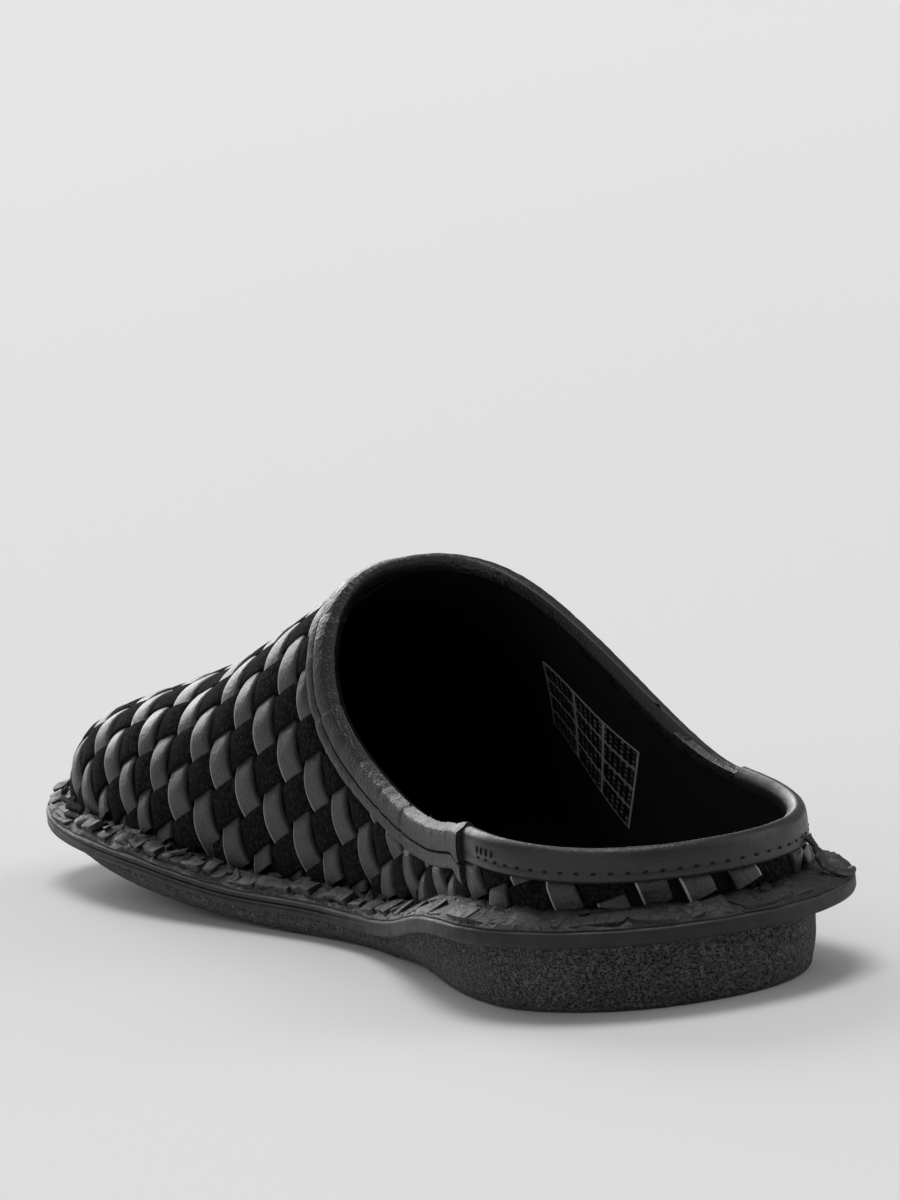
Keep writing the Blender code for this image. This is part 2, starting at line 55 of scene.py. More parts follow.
# Underside of the flange and of the tread along the shoe.
FLANGE_UNDER = [(0, 14.3), (30, 14.9), (58, 14.2), (90, 8.6), (116, 4.9), (150, 4.7),
                (180, 5.4), (209, 8.5), (234, 10.4), (252, 11.2), (270, 12.4), (290, 14.4)]
GROUND_RISE = [(0, 0), (60, 0), (75, 0.5), (92, 1.2), (108, 0.4), (118, 0),
               (162, 0), (180, 0.8), (209, 3.2), (249, 7.5), (290, 12.1)]
SEAT = [(6, 58), (120, 160)]

# Inset from the flange edge of the upper's foot, the tread and the top of the block.
FOOT_IN = [(0, 9.1), (60, 8.8), (120, 6.5), (200, 6.5), (250, 6.2), (290, 6.2)]
TREAD_IN = [(0, 10.4), (28, 10), (55, 7.9), (85, 5.6), (115, 3.8), (200, 3.7), (290, 5)]
BLOCK_IN = [(0, 8.6), (28, 8.2), (55, 5.6), (85, 3.2), (115, 1.9), (200, 1.9), (290, 2.4)]

MIDSOLE_T = 3.4
GAP = 0.3
WALL = 1.8
QUARTER_END = 100.0

# Ridge of the last: distance along, height, offset, fullness of the section.
RIDGE = [(40, 84, 0, 2.6), (100, 79.4, 3, 2.3), (147, 76, 3.4, 2.4), (165, 71.2, 3.4, 2.4),
         (180, 65.4, 3.5, 2.4), (197, 59, 3.9, 2.3), (214, 52.5, 4.4, 2.25)]
HEEL_AXIS, TOE_AXIS = 46.0, 214.0
TOE_SECTION, TOE_EASE = 2.42, 0.2

# Collar edge in side view: left y and z, right y and z.
COLLAR = [(-25, 30.6, -25, 31), (10, 31.4, 10, 31), (30, 33.1, 30, 32.2),
          (50, 34.4, 50, 34.8), (68, 33.3, 65, 36.8), (84, 32.3, 80, 41.6),
          (99.5, 31.2, 95, 49.6), (115.5, 31.6, 110, 58.6), (129.5, 35.1, 122, 64.8),
          (140.5, 41, 131, 69.2), (147.5, 47.4, 138.5, 72.8), (152.5, 55, 144, 75.8),
          (156.5, 63, 148, 78.8), (159.5, 72, 150.5, 82.6), (161.5, 83, 152, 90),
          (164, 110, 154, 110)]
COLLAR_LEFT, COLLAR_RIGHT = -28.0, 31.0
COLLAR_STEPS = 46
RIM_EYE = (2.0, 84.0)
BIND_FRONT, BIND_HEEL, BIND_JOIN = 8.4, 6.0, 52.0

# Lattice of the weave on the flattened upper: pitch, turn and start of the two sets of strips.
STRIP_A, STRIP_B = 10.15, 8.45
TURN_A, TURN_B = math.radians(-162.2), math.radians(-73.1)
START_A, START_B = -50.0, -258.1

# The two sets of strips: pitch, half width, thickness, crown, height off the last, swing and its shape.
SUEDE_SET = (STRIP_A, 4.35, 1.2, 0.14, -0.70, 0.72, 0.6)
SATIN_SET = (STRIP_B, 3.10, 1.35, 0.16, -0.70, 0.95, 0.9)
STATIONS, SHORTEST = 10, 6
STRIPS, CELLS = (-30, 60), (-40, 60)
# Each strip's own offset and width as shares, and how far above the foot it may stop.
STRIP_DRIFT, WIDTH_SPREAD, STRIP_STOP = 0.012, 0.04, (0.2, 3.0)
# How much a strip wanders off the last and aside, and the height that the bands press it down to.
WANDER_OUT, WANDER_ASIDE, PRESSED = 0.12, 0.022, -0.7
# Share of the swing left on the ridge, and the distances from it over which the weave loosens.
FLAT_RIDGE, LOOSENS = 0.30, (14.0, 46.0)
# Lowest place of a strip in the open and at the rim, and the depths under the rim between the two.
DEEPEST, RIM_DEEPEST, SINKS = -1.62, -0.85, (4.0, 6.5)
UNDER_BINDING = 2.8

RING = 1600
random.seed(41)
noise.seed_set(41)
pick = random.uniform


def spline(rows, column=1):
    """Natural cubic curve through a table, held straight past its ends."""
    x = np.array([r[0] for r in rows], float)
    y = np.array([r[column] for r in rows], float)
    n = len(x)
    h = np.diff(x)
    a = np.zeros((n, n))
    b = np.zeros(n)
    a[0, 0] = a[-1, -1] = 1.0
    for i in range(1, n - 1):
        a[i, i - 1], a[i, i], a[i, i + 1] = h[i - 1], 2 * (h[i - 1] + h[i]), h[i]
        b[i] = 6 * ((y[i + 1] - y[i]) / h[i] - (y[i] - y[i - 1]) / h[i - 1])
    m = np.linalg.solve(a, b)

    def value(v):
        w = np.clip(np.asarray(v, float), x[0], x[-1])
        i = np.clip(np.searchsorted(x, w, side="right") - 1, 0, n - 2)
        d = w - x[i]
        e = x[i + 1] - w
        bend = (m[i] * e**3 + m[i + 1] * d**3) / (6 * h[i])
        return bend + (y[i] / h[i] - m[i] * h[i] / 6) * e + (y[i + 1] / h[i] - m[i + 1] * h[i] / 6) * d

    return value


half_width, middle = spline(PLAN_WIDTH), spline(PLAN_MIDDLE)
flange_under = spline(FLANGE_UNDER)
rise_curve = spline(GROUND_RISE)
foot_in, tread_in, block_in = spline(FOOT_IN), spline(TREAD_IN), spline(BLOCK_IN)
ridge_z, ridge_x, ridge_power = spline(RIDGE, 1), spline(RIDGE, 2), spline(RIDGE, 3)


def ground_rise(y):
    """Underside of the outsole, held flat on the heel seat and the forefoot seat."""
    z = np.maximum(rise_curve(y), 0.0)
    for first, last in SEAT:
        z = np.where((y > first - 8) & (y < last), 0.0, z)
    return z


def floor_z(y):
    """Top of the midsole, where the upper, the rand and the insole stand."""
    return flange_under(y) + MIDSOLE_T + GAP


def plan_ring(n):
    """Plan of the flange as a loop, from the heel along the left side to the toe and back."""
    t = np.linspace(0, 1, n // 2 + 1)
    y = LENGTH * (0.5 - 0.5 * np.cos(np.pi * t))
    heel = (1 - np.clip(1 - y / HEEL_CLOSE, 0, 1)**HEEL_POWER)**(1 / HEEL_POWER)
    toe = (1 - np.clip(1 - (LENGTH - y) / TOE_CLOSE, 0, 1)**TOE_POWER)**(1 / TOE_POWER)
    w = half_width(y) * heel * toe
    left = np.column_stack([middle(y) - w, y])
    right = np.column_stack([middle(y) + w, y])[1:-1]
    return np.vstack([left, right[::-1]])


def run_along(line):
    """Distance run along a line at each of its points."""
    return np.concatenate([[0], np.cumsum(np.linalg.norm(np.diff(line, axis=0), axis=1))])


def unit(rows):
    return rows / np.linalg.norm(rows, axis=1)[:, None]


def between(at, run, rows):
    """Rows of a table at one place, or several, along its run."""
    return np.stack([np.interp(at, run, rows[:, k]) for k in range(rows.shape[1])], axis=-1)


def toward(way, other):
    """A direction turned, if need be, to the side of another."""
    return way if way.dot(other) > 0 else -way


def ring_out(ring):
    """Outward direction at each point of a loop in plan."""
    t = np.roll(ring, -1, 0) - np.roll(ring, 1, 0)
    return unit(np.column_stack([-t[:, 1], t[:, 0]]))


def inset(ring, depth):
    """The loop moved inward by a depth that may differ from point to point."""
    return ring - ring_out(ring) * np.broadcast_to(depth, len(ring)).reshape(-1, 1)


def along_loop(loop, count):
    """A closed loop resampled to a number of even steps."""
    closed = np.vstack([loop, loop[:1]])
    run = run_along(closed)
    return between(np.linspace(0, run[-1], count + 1)[:-1], run, closed)


PLAN = plan_ring(RING)
FOOT = inset(PLAN, foot_in(PLAN[:, 1]))
MID_X = 0.5 * (PLAN[:, 0].min() + PLAN[:, 0].max())


def place(points):
    """Millimetres on the last to metres about the middle of the plan."""
    return (np.asarray(points, float) - np.array([MID_X, LENGTH / 2, 0.0])) * MM


def side_x(loop, y, side):
    """Where a loop crosses the distance y on its left (-1) or right (+1)."""
    half = len(loop) // 2
    p = loop[:half + 1] if side < 0 else np.vstack([loop[half:], loop[:1]])
    order = np.argsort(p[:, 1])
    return np.interp(y, p[order, 1], p[order, 0])


def fan_reach(loop, x, y, angle):
    """Reach of a loop from a point, with the angle turned from straight ahead to the right."""
    a = np.arctan2(loop[:, 0] - x, loop[:, 1] - y)
    r = np.hypot(loop[:, 0] - x, loop[:, 1] - y)
    order = np.argsort(a)
    return np.interp(angle, a[order], r[order], period=2 * np.pi)


STEEP = float(ridge_z(TOE_AXIS - 0.5) - ridge_z(TOE_AXIS)) / 0.5


def section(kind, where, rows, skin):
    """One half section from the foot to the ridge, rows evenly spaced, moved in by skin."""
    if kind in ("left", "right"):
        axis = np.array([ridge_x(where), where])
        way = np.array([-1.0 if kind == "left" else 1.0, 0.0])
        reach = abs(side_x(FOOT, where, way[0]) - axis[0])
        power, top, fall = ridge_power(where), ridge_z(where), 0.0
    else:
        at = TOE_AXIS if kind == "toe" else HEEL_AXIS
        axis = np.array([ridge_x(at), at])
        way = np.array([math.sin(where), math.cos(where)])
        reach = fan_reach(FOOT, axis[0], axis[1], where)
        power, top, fall = ridge_power(at), ridge_z(at), 0.0
        if kind == "toe":
            power = TOE_SECTION + (power - TOE_SECTION) * math.sin(where)**2
            fall = STEEP * math.cos(where)
    low = floor_z(axis[1] + way[1] * reach)
    t = np.linspace(0, math.pi / 2, 241)
    share = np.cos(t)**(2 / power)
    r = (reach - skin) * share
    drop = fall * reach * (share - (1 - TOE_EASE) * share**2)
    z = low + (top - skin - drop - low) * np.sin(t)**(2 / power)
    run = np.concatenate([[0], np.cumsum(np.hypot(np.diff(r), np.diff(z)))])
    s = np.linspace(0, run[-1], rows)
    r = np.interp(s, run, r)
    r[-1] = 0.0
    z = np.interp(s, run, z)
    points = np.column_stack([axis[0] + way[0] * r, axis[1] + way[1] * r, z])
    return points, run[-1]


def collar_line(share):
    """Collar edge in side view at a share of the way from left to right."""
    rows = np.array(COLLAR, float)
    t = np.arange(len(rows))
    fine = np.linspace(0, len(rows) - 1, COLLAR_STEPS)
    curve = [spline(list(zip(t, rows[:, k])))(fine) for k in range(4)]
    return np.column_stack(curve[:2]) * (1 - share) + np.column_stack(curve[2:]) * share


LEFT_EDGE, RIGHT_EDGE = collar_line(0.0), collar_line(1.0)


def above_collar(points):
    """Signed distance in side view from the collar edge, plus where the wall is cut away."""
    out = []
    for p in np.array_split(np.asarray(points, float).reshape(-1, 3), max(1, len(points) // 20000)):
        share = np.clip((p[:, 0] - COLLAR_LEFT) / (COLLAR_RIGHT - COLLAR_LEFT), 0, 1)[:, None, None]
        edge = LEFT_EDGE[None] * (1 - share) + RIGHT_EDGE[None] * share
        a, way = edge[:, :-1], np.diff(edge, axis=1)
        off = p[:, None, 1:] - a
        t = np.clip((off * way).sum(2) / (way**2).sum(2), 0, 1)
        gap = off - t[..., None] * way
        far = np.hypot(gap[..., 0], gap[..., 1])
        k = far.argmin(1)
        i = np.arange(len(p))
        turn = way[i, k, 0] * gap[i, k, 1] - way[i, k, 1] * gap[i, k, 0]
        out.append(far[i, k] * np.where(turn > 0, 1.0, -1.0))
    return np.concatenate(out)


def smooth_step(v, low, high):
    t = np.clip((v - low) / (high - low), 0, 1)
    return t * t * (3 - 2 * t)


# The flattened upper as tables: each line is one section, sampled from the ridge down.
LAY_STEP = 0.5
LAY_COUNT = 250
LAY_S = np.arange(LAY_COUNT) * LAY_STEP
SIDE_AT = np.arange(HEEL_AXIS, TOE_AXIS + 0.01, LAY_STEP)
TOE_AT = np.linspace(-math.pi / 2, math.pi / 2, 181)
HEEL_TURN = np.linspace(math.pi / 2, math.pi, 61)


def lay_line(kind, where, whole=None):
    """One section by distance from the ridge, run straight down past its foot; last value is its length."""
    points, length = section(kind, where, 241, 0.0)
    s = np.linspace(length, 0, 241)[::-1]
    want = LAY_S if whole is None else np.maximum(length - (whole - LAY_S), 0.0)
    line = between(want, s, points[::-1])
    line[:, 2] -= np.maximum(want - length, 0.0)
    return np.column_stack([line, np.full(LAY_COUNT, length if whole is None else whole)])


HEEL_WHOLE = section("left", HEEL_AXIS, 9, 0.0)[1]
HEEL_R = fan_reach(FOOT, float(ridge_x(HEEL_AXIS)), HEEL_AXIS, HEEL_TURN)
HEEL_P = np.column_stack([HEEL_R * np.sin(HEEL_TURN), HEEL_R * np.cos(HEEL_TURN)])
HEEL_RUN = run_along(HEEL_P)
LAY_TOE = np.array([lay_line("toe", a) for a in TOE_AT])
LAY_SIDE = {-1: np.array([lay_line("left", y) for y in SIDE_AT]),
            1: np.array([lay_line("right", y) for y in SIDE_AT])}
LAY_HEEL = {k: np.array([lay_line("heel", k * a, HEEL_WHOLE) for a in HEEL_TURN]) for k in (-1, 1)}


def look(table, i, k):
    """Value of a table between its lines."""
    i = np.clip(i, 0, table.shape[0] - 1.001)
    k = np.clip(k, 0, table.shape[1] - 1.001)
    i0, k0 = i.astype(int), k.astype(int)
    u, v = (i - i0)[:, None], (k - k0)[:, None]
    near = table[i0, k0] * (1 - u) + table[i0 + 1, k0] * u
    far = table[i0, k0 + 1] * (1 - u) + table[i0 + 1, k0 + 1] * u
    return near * (1 - v) + far * v


def lay(across, along):
    """Point of the last at a flattened place, and the distance left to the foot."""
    across, along = np.asarray(across, float), np.asarray(along, float)
    out = np.zeros((len(across), 4))
    s = np.abs(across)
    toe = along > TOE_AXIS
    ahead = along[toe] - TOE_AXIS
    s[toe] = np.hypot(across[toe], ahead)
    turn = np.arctan2(across[toe], ahead)
    out[toe] = look(LAY_TOE, (turn + math.pi / 2) / (TOE_AT[1] - TOE_AT[0]), s[toe] / LAY_STEP)
    for side in (-1, 1):
        there = (across < 0) if side < 0 else (across >= 0)
        m = there & ~toe & (along >= HEEL_AXIS)
        out[m] = look(LAY_SIDE[side], (along[m] - HEEL_AXIS) / LAY_STEP, s[m] / LAY_STEP)
        m = there & (along < HEEL_AXIS)
        run = np.interp(HEEL_AXIS - along[m], HEEL_RUN, np.arange(len(HEEL_RUN)))
        out[m] = look(LAY_HEEL[side], run, s[m] / LAY_STEP)
    return out[:, :3], out[:, 3] - s


def lay_normal(across, along):
    """Outward direction of the last at a flattened place."""
    e = 0.8
    u = lay(across + e, along)[0] - lay(across - e, along)[0]
    v = lay(across, along + e)[0] - lay(across, along - e)[0]
    n = np.cross(u, v)
    return n / np.maximum(np.linalg.norm(n, axis=1), 1e-9)[:, None]


def lattice(a, b):
    """Flattened place of a point of the weave, counted in strips of the two sets."""
    p = a * STRIP_A + START_A
    q = b * STRIP_B + START_B
    det = math.cos(TURN_A) * math.sin(TURN_B) - math.sin(TURN_A) * math.cos(TURN_B)
    across = (p * math.sin(TURN_B) - q * math.sin(TURN_A)) / det
    along = (q * math.cos(TURN_A) - p * math.cos(TURN_B)) / det
    return across, along


class Finish:
    """A new finish: its node tree, its shader and the object coordinates."""

    def __init__(self, name, **sockets):
        self.stuff = bpy.data.materials.new(name)
        self.stuff.use_nodes = True
        self.tree = self.stuff.node_tree
        self.shader = self.tree.nodes["Principled BSDF"]
        for key, value in sockets.items():
            self.shader.inputs[key.replace("_", " ")].default_value = value
        self.where = self.add("TexCoord").outputs["Object"]

    def add(self, kind, **sockets):
        """A node of one kind, with values set on its sockets."""
        node = self.tree.nodes.new("ShaderNode" + kind)
        for key, value in sockets.items():
            node.inputs[key.replace("_", " ")].default_value = value
        return node

    def join(self, value, socket):
        self.tree.links.new(value, socket)

    def show(self, key, value):
        """Lead a value to a socket of the shader."""
        self.join(value, self.shader.inputs[key])

    def speckle(self, scale, detail=4.0, rough=0.6, stretch=None):
        """Noise at a number of cells a metre."""
        where = self.where
        if stretch:
            turn = self.add("Mapping", Scale=stretch)
            self.join(where, turn.inputs["Vector"])
            where = turn.outputs["Vector"]
        node = self.add("TexNoise", Scale=scale, Detail=detail, Roughness=rough)
        self.join(where, node.inputs["Vector"])
        return node.outputs["Fac"]

    def pebbles(self, scale, feature="F1"):
        """Distance in a field of cells at a number of cells a metre."""
        node = self.add("TexVoronoi", Scale=scale)
        node.feature = feature
        self.join(self.where, node.inputs["Vector"])
        return node.outputs["Distance"]

    def ramp(self, value, *stops):
        """Tones along a value: each stop is a place and a grey or a colour."""
        node = self.add("ValToRGB")
        while len(node.color_ramp.elements) < len(stops):
            node.color_ramp.elements.new(0.5)
        for e, (at, tone) in zip(node.color_ramp.elements, stops):
            e.position = at
            e.color = (*tone, 1.0) if isinstance(tone, tuple) else (tone, tone, tone, 1.0)
        self.join(value, node.inputs["Fac"])
        return node.outputs["Color"]

    def patches(self, scale, low, high):
        """A tone that wanders between two others, at a number of cells a metre."""
        return self.ramp(self.speckle(scale), (0.3, low), (0.7, high))

    def wear_and_light_share(self, *stops):
        """The wear and painted light stored on the mesh, led through a ramp."""
        node = self.add("Attribute")
        node.attribute_name = "wear_and_light"
        return self.ramp(node.outputs["Fac"], *stops)

    def mixed(self, share, first, second, kind="MIX"):
        """Two colours mixed by a share that may vary over the surface."""
        node = self.add("Mix")
        node.data_type = "RGBA"
        node.blend_type = kind
        for key, value in ((0, share), (6, first), (7, second)):
            if isinstance(value, (float, tuple)):
                node.inputs[key].default_value = value
            else:
                self.join(value, node.inputs[key])
        return node.outputs[2]

    def bumps(self, *layers):
        """Stacked bump: each layer is a height and its depth in millimetres."""
        normal = None
        for height, depth in layers:
            node = self.add("Bump", Strength=1.0, Distance=depth * MM)
            self.join(height, node.inputs["Height"])
            if normal:
                self.join(normal, node.inputs["Normal"])
            normal = node.outputs["Normal"]
        self.show("Normal", normal)


def satin_leather():
    f = Finish("satin_leather", Specular_IOR_Level=0.5)
    base = f.patches(90.0, (0.0125, 0.0125, 0.0130), (0.031, 0.031, 0.0319))
    base = f.mixed(1.0, base, f.ramp(f.speckle(1600.0), (0.36, 0.62), (0.64, 1.40)), "MULTIPLY")
    # Painted highlight: the sharp edge of each strip is mixed toward light grey, a glint drawn along it,
    # partly a worn cut edge.
    edge = f.wear_and_light_share((0.68, 0.0), (0.95, 0.80))
    f.show("Base Color", f.mixed(edge, base, (0.42, 0.42, 0.425, 1.0)))
    f.show("Roughness", f.patches(260.0, 0.28, 0.42))
    f.bumps((f.speckle(1200.0, 5.0, 0.7), 0.22), (f.speckle(300.0), 0.14))
    return f.stuff


def suede():
    f = Finish("black_suede", Specular_IOR_Level=0.07)
    nap = f.speckle(1150.0, 4.0, 0.72)
    f.show("Base Color", f.ramp(nap, (0.42, 0.0028), (0.54, 0.0076), (0.68, 0.027)))
    f.show("Roughness", f.ramp(nap, (0.3, 0.98), (0.75, 0.80)))
    f.bumps((nap, 0.45), (f.speckle(420.0), 0.18))
    return f.stuff


def grained_leather(name, dark, light, rough, grain, depth, mottle):
    f = Finish(name, Specular_IOR_Level=0.5)
    spots = f.ramp(f.speckle(1500.0, 3.0), (0.36, 1 - mottle), (0.64, 1 + mottle))
    base = f.mixed(1.0, f.patches(140.0, dark, light), spots, "MULTIPLY")
    edge = f.wear_and_light_share((0.2, 0.0), (1.0, 0.5))
    f.show("Base Color", f.mixed(edge, base, (0.11, 0.11, 0.112, 1.0)))
    f.show("Roughness", f.patches(300.0, rough - 0.08, rough + 0.1))
    f.bumps((f.pebbles(grain), depth), (f.speckle(330.0), depth * 0.8), (f.speckle(2200.0), depth * 0.5))
    return f.stuff


def cracked_leather():
    f = Finish("cracked_leather", Specular_IOR_Level=0.45)
    base = f.ramp(f.speckle(160.0), (0.30, 0.005), (0.55, 0.012), (0.75, 0.022))
    cracks = f.ramp(f.pebbles(330.0, "DISTANCE_TO_EDGE"), (0.0, 0.35), (0.07, 1.0))
    tone = f.mixed(f.wear_and_light_share((0.25, 0.0), (1.0, 0.6)), base, (0.055, 0.055, 0.056, 1.0))
    # Painted shade: where the mesh carries no value the tone drops to a fifth, darkening the bed toward the
    # upper and the slivers in the corner.
    tone = f.mixed(1.0, tone, f.wear_and_light_share((0.0, 0.22), (0.1, 1.0)), "MULTIPLY")
    f.show("Base Color", f.mixed(1.0, tone, cracks, "MULTIPLY"))
    f.show("Roughness", f.patches(400.0, 0.42, 0.68))
    f.bumps((cracks, 0.12), (f.speckle(700.0, 6.0), 0.30))
    return f.stuff


def crumb_rubber():
    f = Finish("crumb_rubber", Specular_IOR_Level=0.35)
    fine = f.speckle(2300.0, 3.0, 0.62, (0.8, 0.8, 1.15))
    coarse = f.speckle(900.0, 4.0, 0.65)
    pits = f.ramp(fine, (0.40, 0.0), (0.47, 0.85), (0.60, 1.0))
    tone = f.ramp(coarse, (0.32, 0.044), (0.52, 0.084), (0.72, 0.175))
    tone = f.mixed(pits, (0.004, 0.004, 0.004, 1.0), tone)
    f.show("Base Color", f.mixed(1.0, tone, f.patches(55.0, 0.80, 1.15), "MULTIPLY"))
    f.show("Roughness", f.ramp(fine, (0.3, 0.95), (0.7, 0.72)))
    f.bumps((pits, 0.32), (coarse, 0.45))
    return f.stuff


def plain_dark(name, tone, rough, shine=0.4):
    f = Finish(name, Specular_IOR_Level=shine)
    f.show("Base Color", f.patches(900.0, tone * 0.6, tone * 1.5))
    f.show("Roughness", f.patches(500.0, rough - 0.1, rough + 0.1))
    f.bumps((f.speckle(1800.0), 0.06))
    return f.stuff


SATIN, SUEDE, RUBBER, CRACKED = satin_leather(), suede(), crumb_rubber(), cracked_leather()
BINDING = grained_leather("binding_leather", 0.0018, 0.0070, 0.42, 1300.0, 0.13, 0.6)
HEEL_BAND = grained_leather("heel_band_leather", 0.008, 0.014, 0.40, 1500.0, 0.04, 0.12)
WELT = grained_leather("midsole_leather", 0.0022, 0.0050, 0.58, 900.0, 0.05, 0.3)
LINING = plain_dark("lining_leather", 0.0038, 0.80, 0.18)
FOOTBED = plain_dark("insole_leather", 0.0060, 0.50)
# Painted shade: the needle holes are dark beads, their black standing for the shade inside each hole.
HOLE = plain_dark("needle_hole", 0.0012, 0.9)


def face_outward(mesh):
    """Turn each closed loose part so that its faces look outward; an open sheet is left as it is."""
    work = bmesh.new()
    work.from_mesh(mesh)
    for seed in work.faces:
        if seed.tag:
            continue
        seed.tag = True
        part, start = [seed], seed.calc_center_median()
        for face in part:
            for other in (near for edge in face.edges for near in edge.link_faces if not near.tag):
                other.tag = True
                part.append(other)
        closed = all(edge.is_manifold for face in part for edge in face.edges)
        inside = sum((face.calc_center_median() - start).dot(face.normal) * face.calc_area() for face in part)
        if closed and inside < 0:
            bmesh.ops.reverse_faces(work, faces=part)
    work.to_mesh(mesh)
    work.free()


def add_piece(name, points, faces, stuff, nodes=(), wear_and_light=None, angle=40.0):
    """A finished mesh that rides on the body, with points in millimetres on the last."""
    mesh = bpy.data.meshes.new(name)
    mesh.from_pydata(place(points).tolist(), [], [list(map(int, f)) for f in faces])
    # The wear_and_light values: real wear on some pieces, painted highlight and painted shade on others.
    if wear_and_light is not None:
        mesh.attributes.new("wear_and_light", "FLOAT", "POINT").data.foreach_set("value", np.asarray(wear_and_light, np.float32))
    mesh.materials.append(stuff)
    mesh.validate()
    face_outward(mesh)
    item = bpy.data.objects.new(name, mesh)
    bpy.context.scene.collection.objects.link(item)
    bpy.ops.object.select_all(action="DESELECT")
    item.select_set(True)
    bpy.context.view_layer.objects.active = item
    bpy.ops.object.shade_smooth_by_angle(angle=math.radians(angle))
    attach(item, "root")
    if nodes:
        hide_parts(*nodes)
    return item


def tube_faces(stations, ring, start, closed=False):
    """Quads of a loft of closed rings, with its two ends filled unless it closes on itself."""
    faces = []
    for k in range(stations if closed else stations - 1):
        m = (k + 1) % stations
        for i in range(ring):
            j = (i + 1) % ring
            quad = (k * ring + i, k * ring + j, m * ring + j, m * ring + i)
            faces.append(tuple(start + corner for corner in quad))
    if not closed:
        faces.append(tuple(start + i for i in range(ring))[::-1])
        faces.append(tuple(start + (stations - 1) * ring + i for i in range(ring)))
    return faces


# How far the points of a fully rolled edge move in and down, in millimetres.
ROLL = [(0.0, 0.0), (0.02, 0.10), (0.08, 0.05), (0.14, 0.0), (0.0, 0.0)]


def strip_profile(half, thick, crown, roll):
    """Section of a strip, one edge sharp and one rolled: place across, height about its middle, and wear with
    painted highlight.
    """
    low, top = -0.5 * thick, 0.5 * thick
    # The third value is painted highlight along the sharp edge, partly edge wear; the rolled edge loses it as
    # it rolls.
    sharp = [(half, low + 0.22 * thick, 0.5), (half - 0.03, top - 0.30, 0.4), (half - 0.16, top - 0.07, 1.0),
             (half - 0.42, top, 0.88), (0.5 * half, top + 0.7 * crown, 0.0)]
    rolled = [(x - roll * back, z - roll * drop, w * (1.0 - roll))
              for (x, z, w), (back, drop) in zip(sharp, ROLL)]
    rows = [(-x, z, w) for x, z, w in sharp] + [(0.0, top + crown, 0.0)] + rolled[::-1]
    rows += [(half - 0.35, low, 0.0), (-half + 0.35, low, 0.0)]
    return np.array(rows[::-1])


def weave(name, stuff, satin):
    """All strips of one set, each a crowned ribbon that dips under the other set in turn."""
    pitch, half, thick, crown, mid, swing, shape = SATIN_SET if satin else SUEDE_SET
    profile = strip_profile(half, thick, crown, 1.0 if satin else 0.0)
    ring = len(profile)
    points, faces, wear_and_light = [], [], []
    count = 0
    t = np.arange(*CELLS, 1.0 / STATIONS)
    for strip in range(*STRIPS):
        drift = STRIP_DRIFT * pick(-1, 1)
        full = 1.0 + WIDTH_SPREAD * pick(-1, 1)
        stop = pick(*STRIP_STOP)
        centre = np.full(len(t), strip + 0.5 + drift)
        across, along = lattice(t, centre) if satin else lattice(centre, t)
        spot, left = lay(across, along)
        ok = (left > stop) & (along > HEEL_AXIS - HEEL_RUN[-1])
        ok[ok] = above_collar(spot[ok]) < -UNDER_BINDING
        edges = np.flatnonzero(np.diff(np.concatenate([[0], ok.astype(int), [0]])))
        for first, last in zip(edges[::2], edges[1::2]):
            if last - first < SHORTEST:
                continue
            u = t[first:last]
            wander = np.array([noise.noise((strip * 3.7, v * 0.6, 5.0 if satin else 9.0)) for v in u])
            sign = 1.0 if strip % 2 == 0 else -1.0
            s = np.sin(math.pi * u) * (sign if satin else -sign)
            taut = FLAT_RIDGE + (1 - FLAT_RIDGE) * smooth_step(np.abs(across[first:last]), *LOOSENS)
            z = mid + taut * swing * np.sign(s) * np.abs(s)**shape + WANDER_OUT * wander
            c = profile[None, :, 0] * full / pitch + (strip + 0.5 + drift + WANDER_ASIDE * wander)[:, None]
            w = np.repeat(u[:, None], ring, 1)
            spots = lattice(w.ravel(), c.ravel()) if satin else lattice(c.ravel(), w.ravel())
            base = lay(*spots)[0]
            rise = (z[:, None] + profile[None, :, 1]).ravel()
            below = -above_collar(base)
            deep = np.where(base[:, 1] < BIND_JOIN, BIND_HEEL, BIND_FRONT)
            tuck = smooth_step(below, deep - 1.2, deep + 1.0)
            rise = np.where(rise > PRESSED, PRESSED + (rise - PRESSED) * tuck, rise)
            deepest = RIM_DEEPEST + (DEEPEST - RIM_DEEPEST) * smooth_step(below, *SINKS)
            points.append(base + lay_normal(*spots) * np.maximum(rise, deepest)[:, None])
            # Painted highlight along each strip's sharp edge, partly edge wear, stored per point.
            wear_and_light.append(np.tile(profile[:, 2], len(u)))
            faces += tube_faces(len(u), ring, count)
            count += len(u) * ring
    add_piece(name, np.vstack(points), faces, stuff, (), np.concatenate(wear_and_light), 50.0)


def stations(toe, vamp, quarter, heel):
    """Section planes round the upper: kind and place, from the heel by the left side to the toe and back."""
    back = [("heel", a) for a in np.linspace(-math.pi, -math.pi / 2, heel // 2 + 1)[:-1]]
    side = np.concatenate([np.linspace(HEEL_AXIS, QUARTER_END, quarter + 1)[:-1],
                           np.linspace(QUARTER_END, TOE_AXIS, vamp + 1)])
    left = [("left", y) for y in side[:-1]]
    front = [("toe", a) for a in np.linspace(-math.pi / 2, math.pi / 2, toe + 1)[:-1]]
    right = [("right", y) for y in side[:0:-1]]
    end = [("heel", a) for a in np.linspace(math.pi / 2, math.pi, heel // 2 + 1)[:-1]]
    return back + left + front + right + end


def skin_grid(planes, rows, skin):
    return np.array([section(kind, where, rows, skin)[0] for kind, where in planes])


def grid_faces(columns, rows):
    """Quads of a grid that closes round its columns."""
    faces = []
    for i in range(columns):
        j = (i + 1) % columns
        for k in range(rows - 1):
            faces.append((i * rows + k, j * rows + k, j * rows + k + 1, i * rows + k + 1))
    return faces


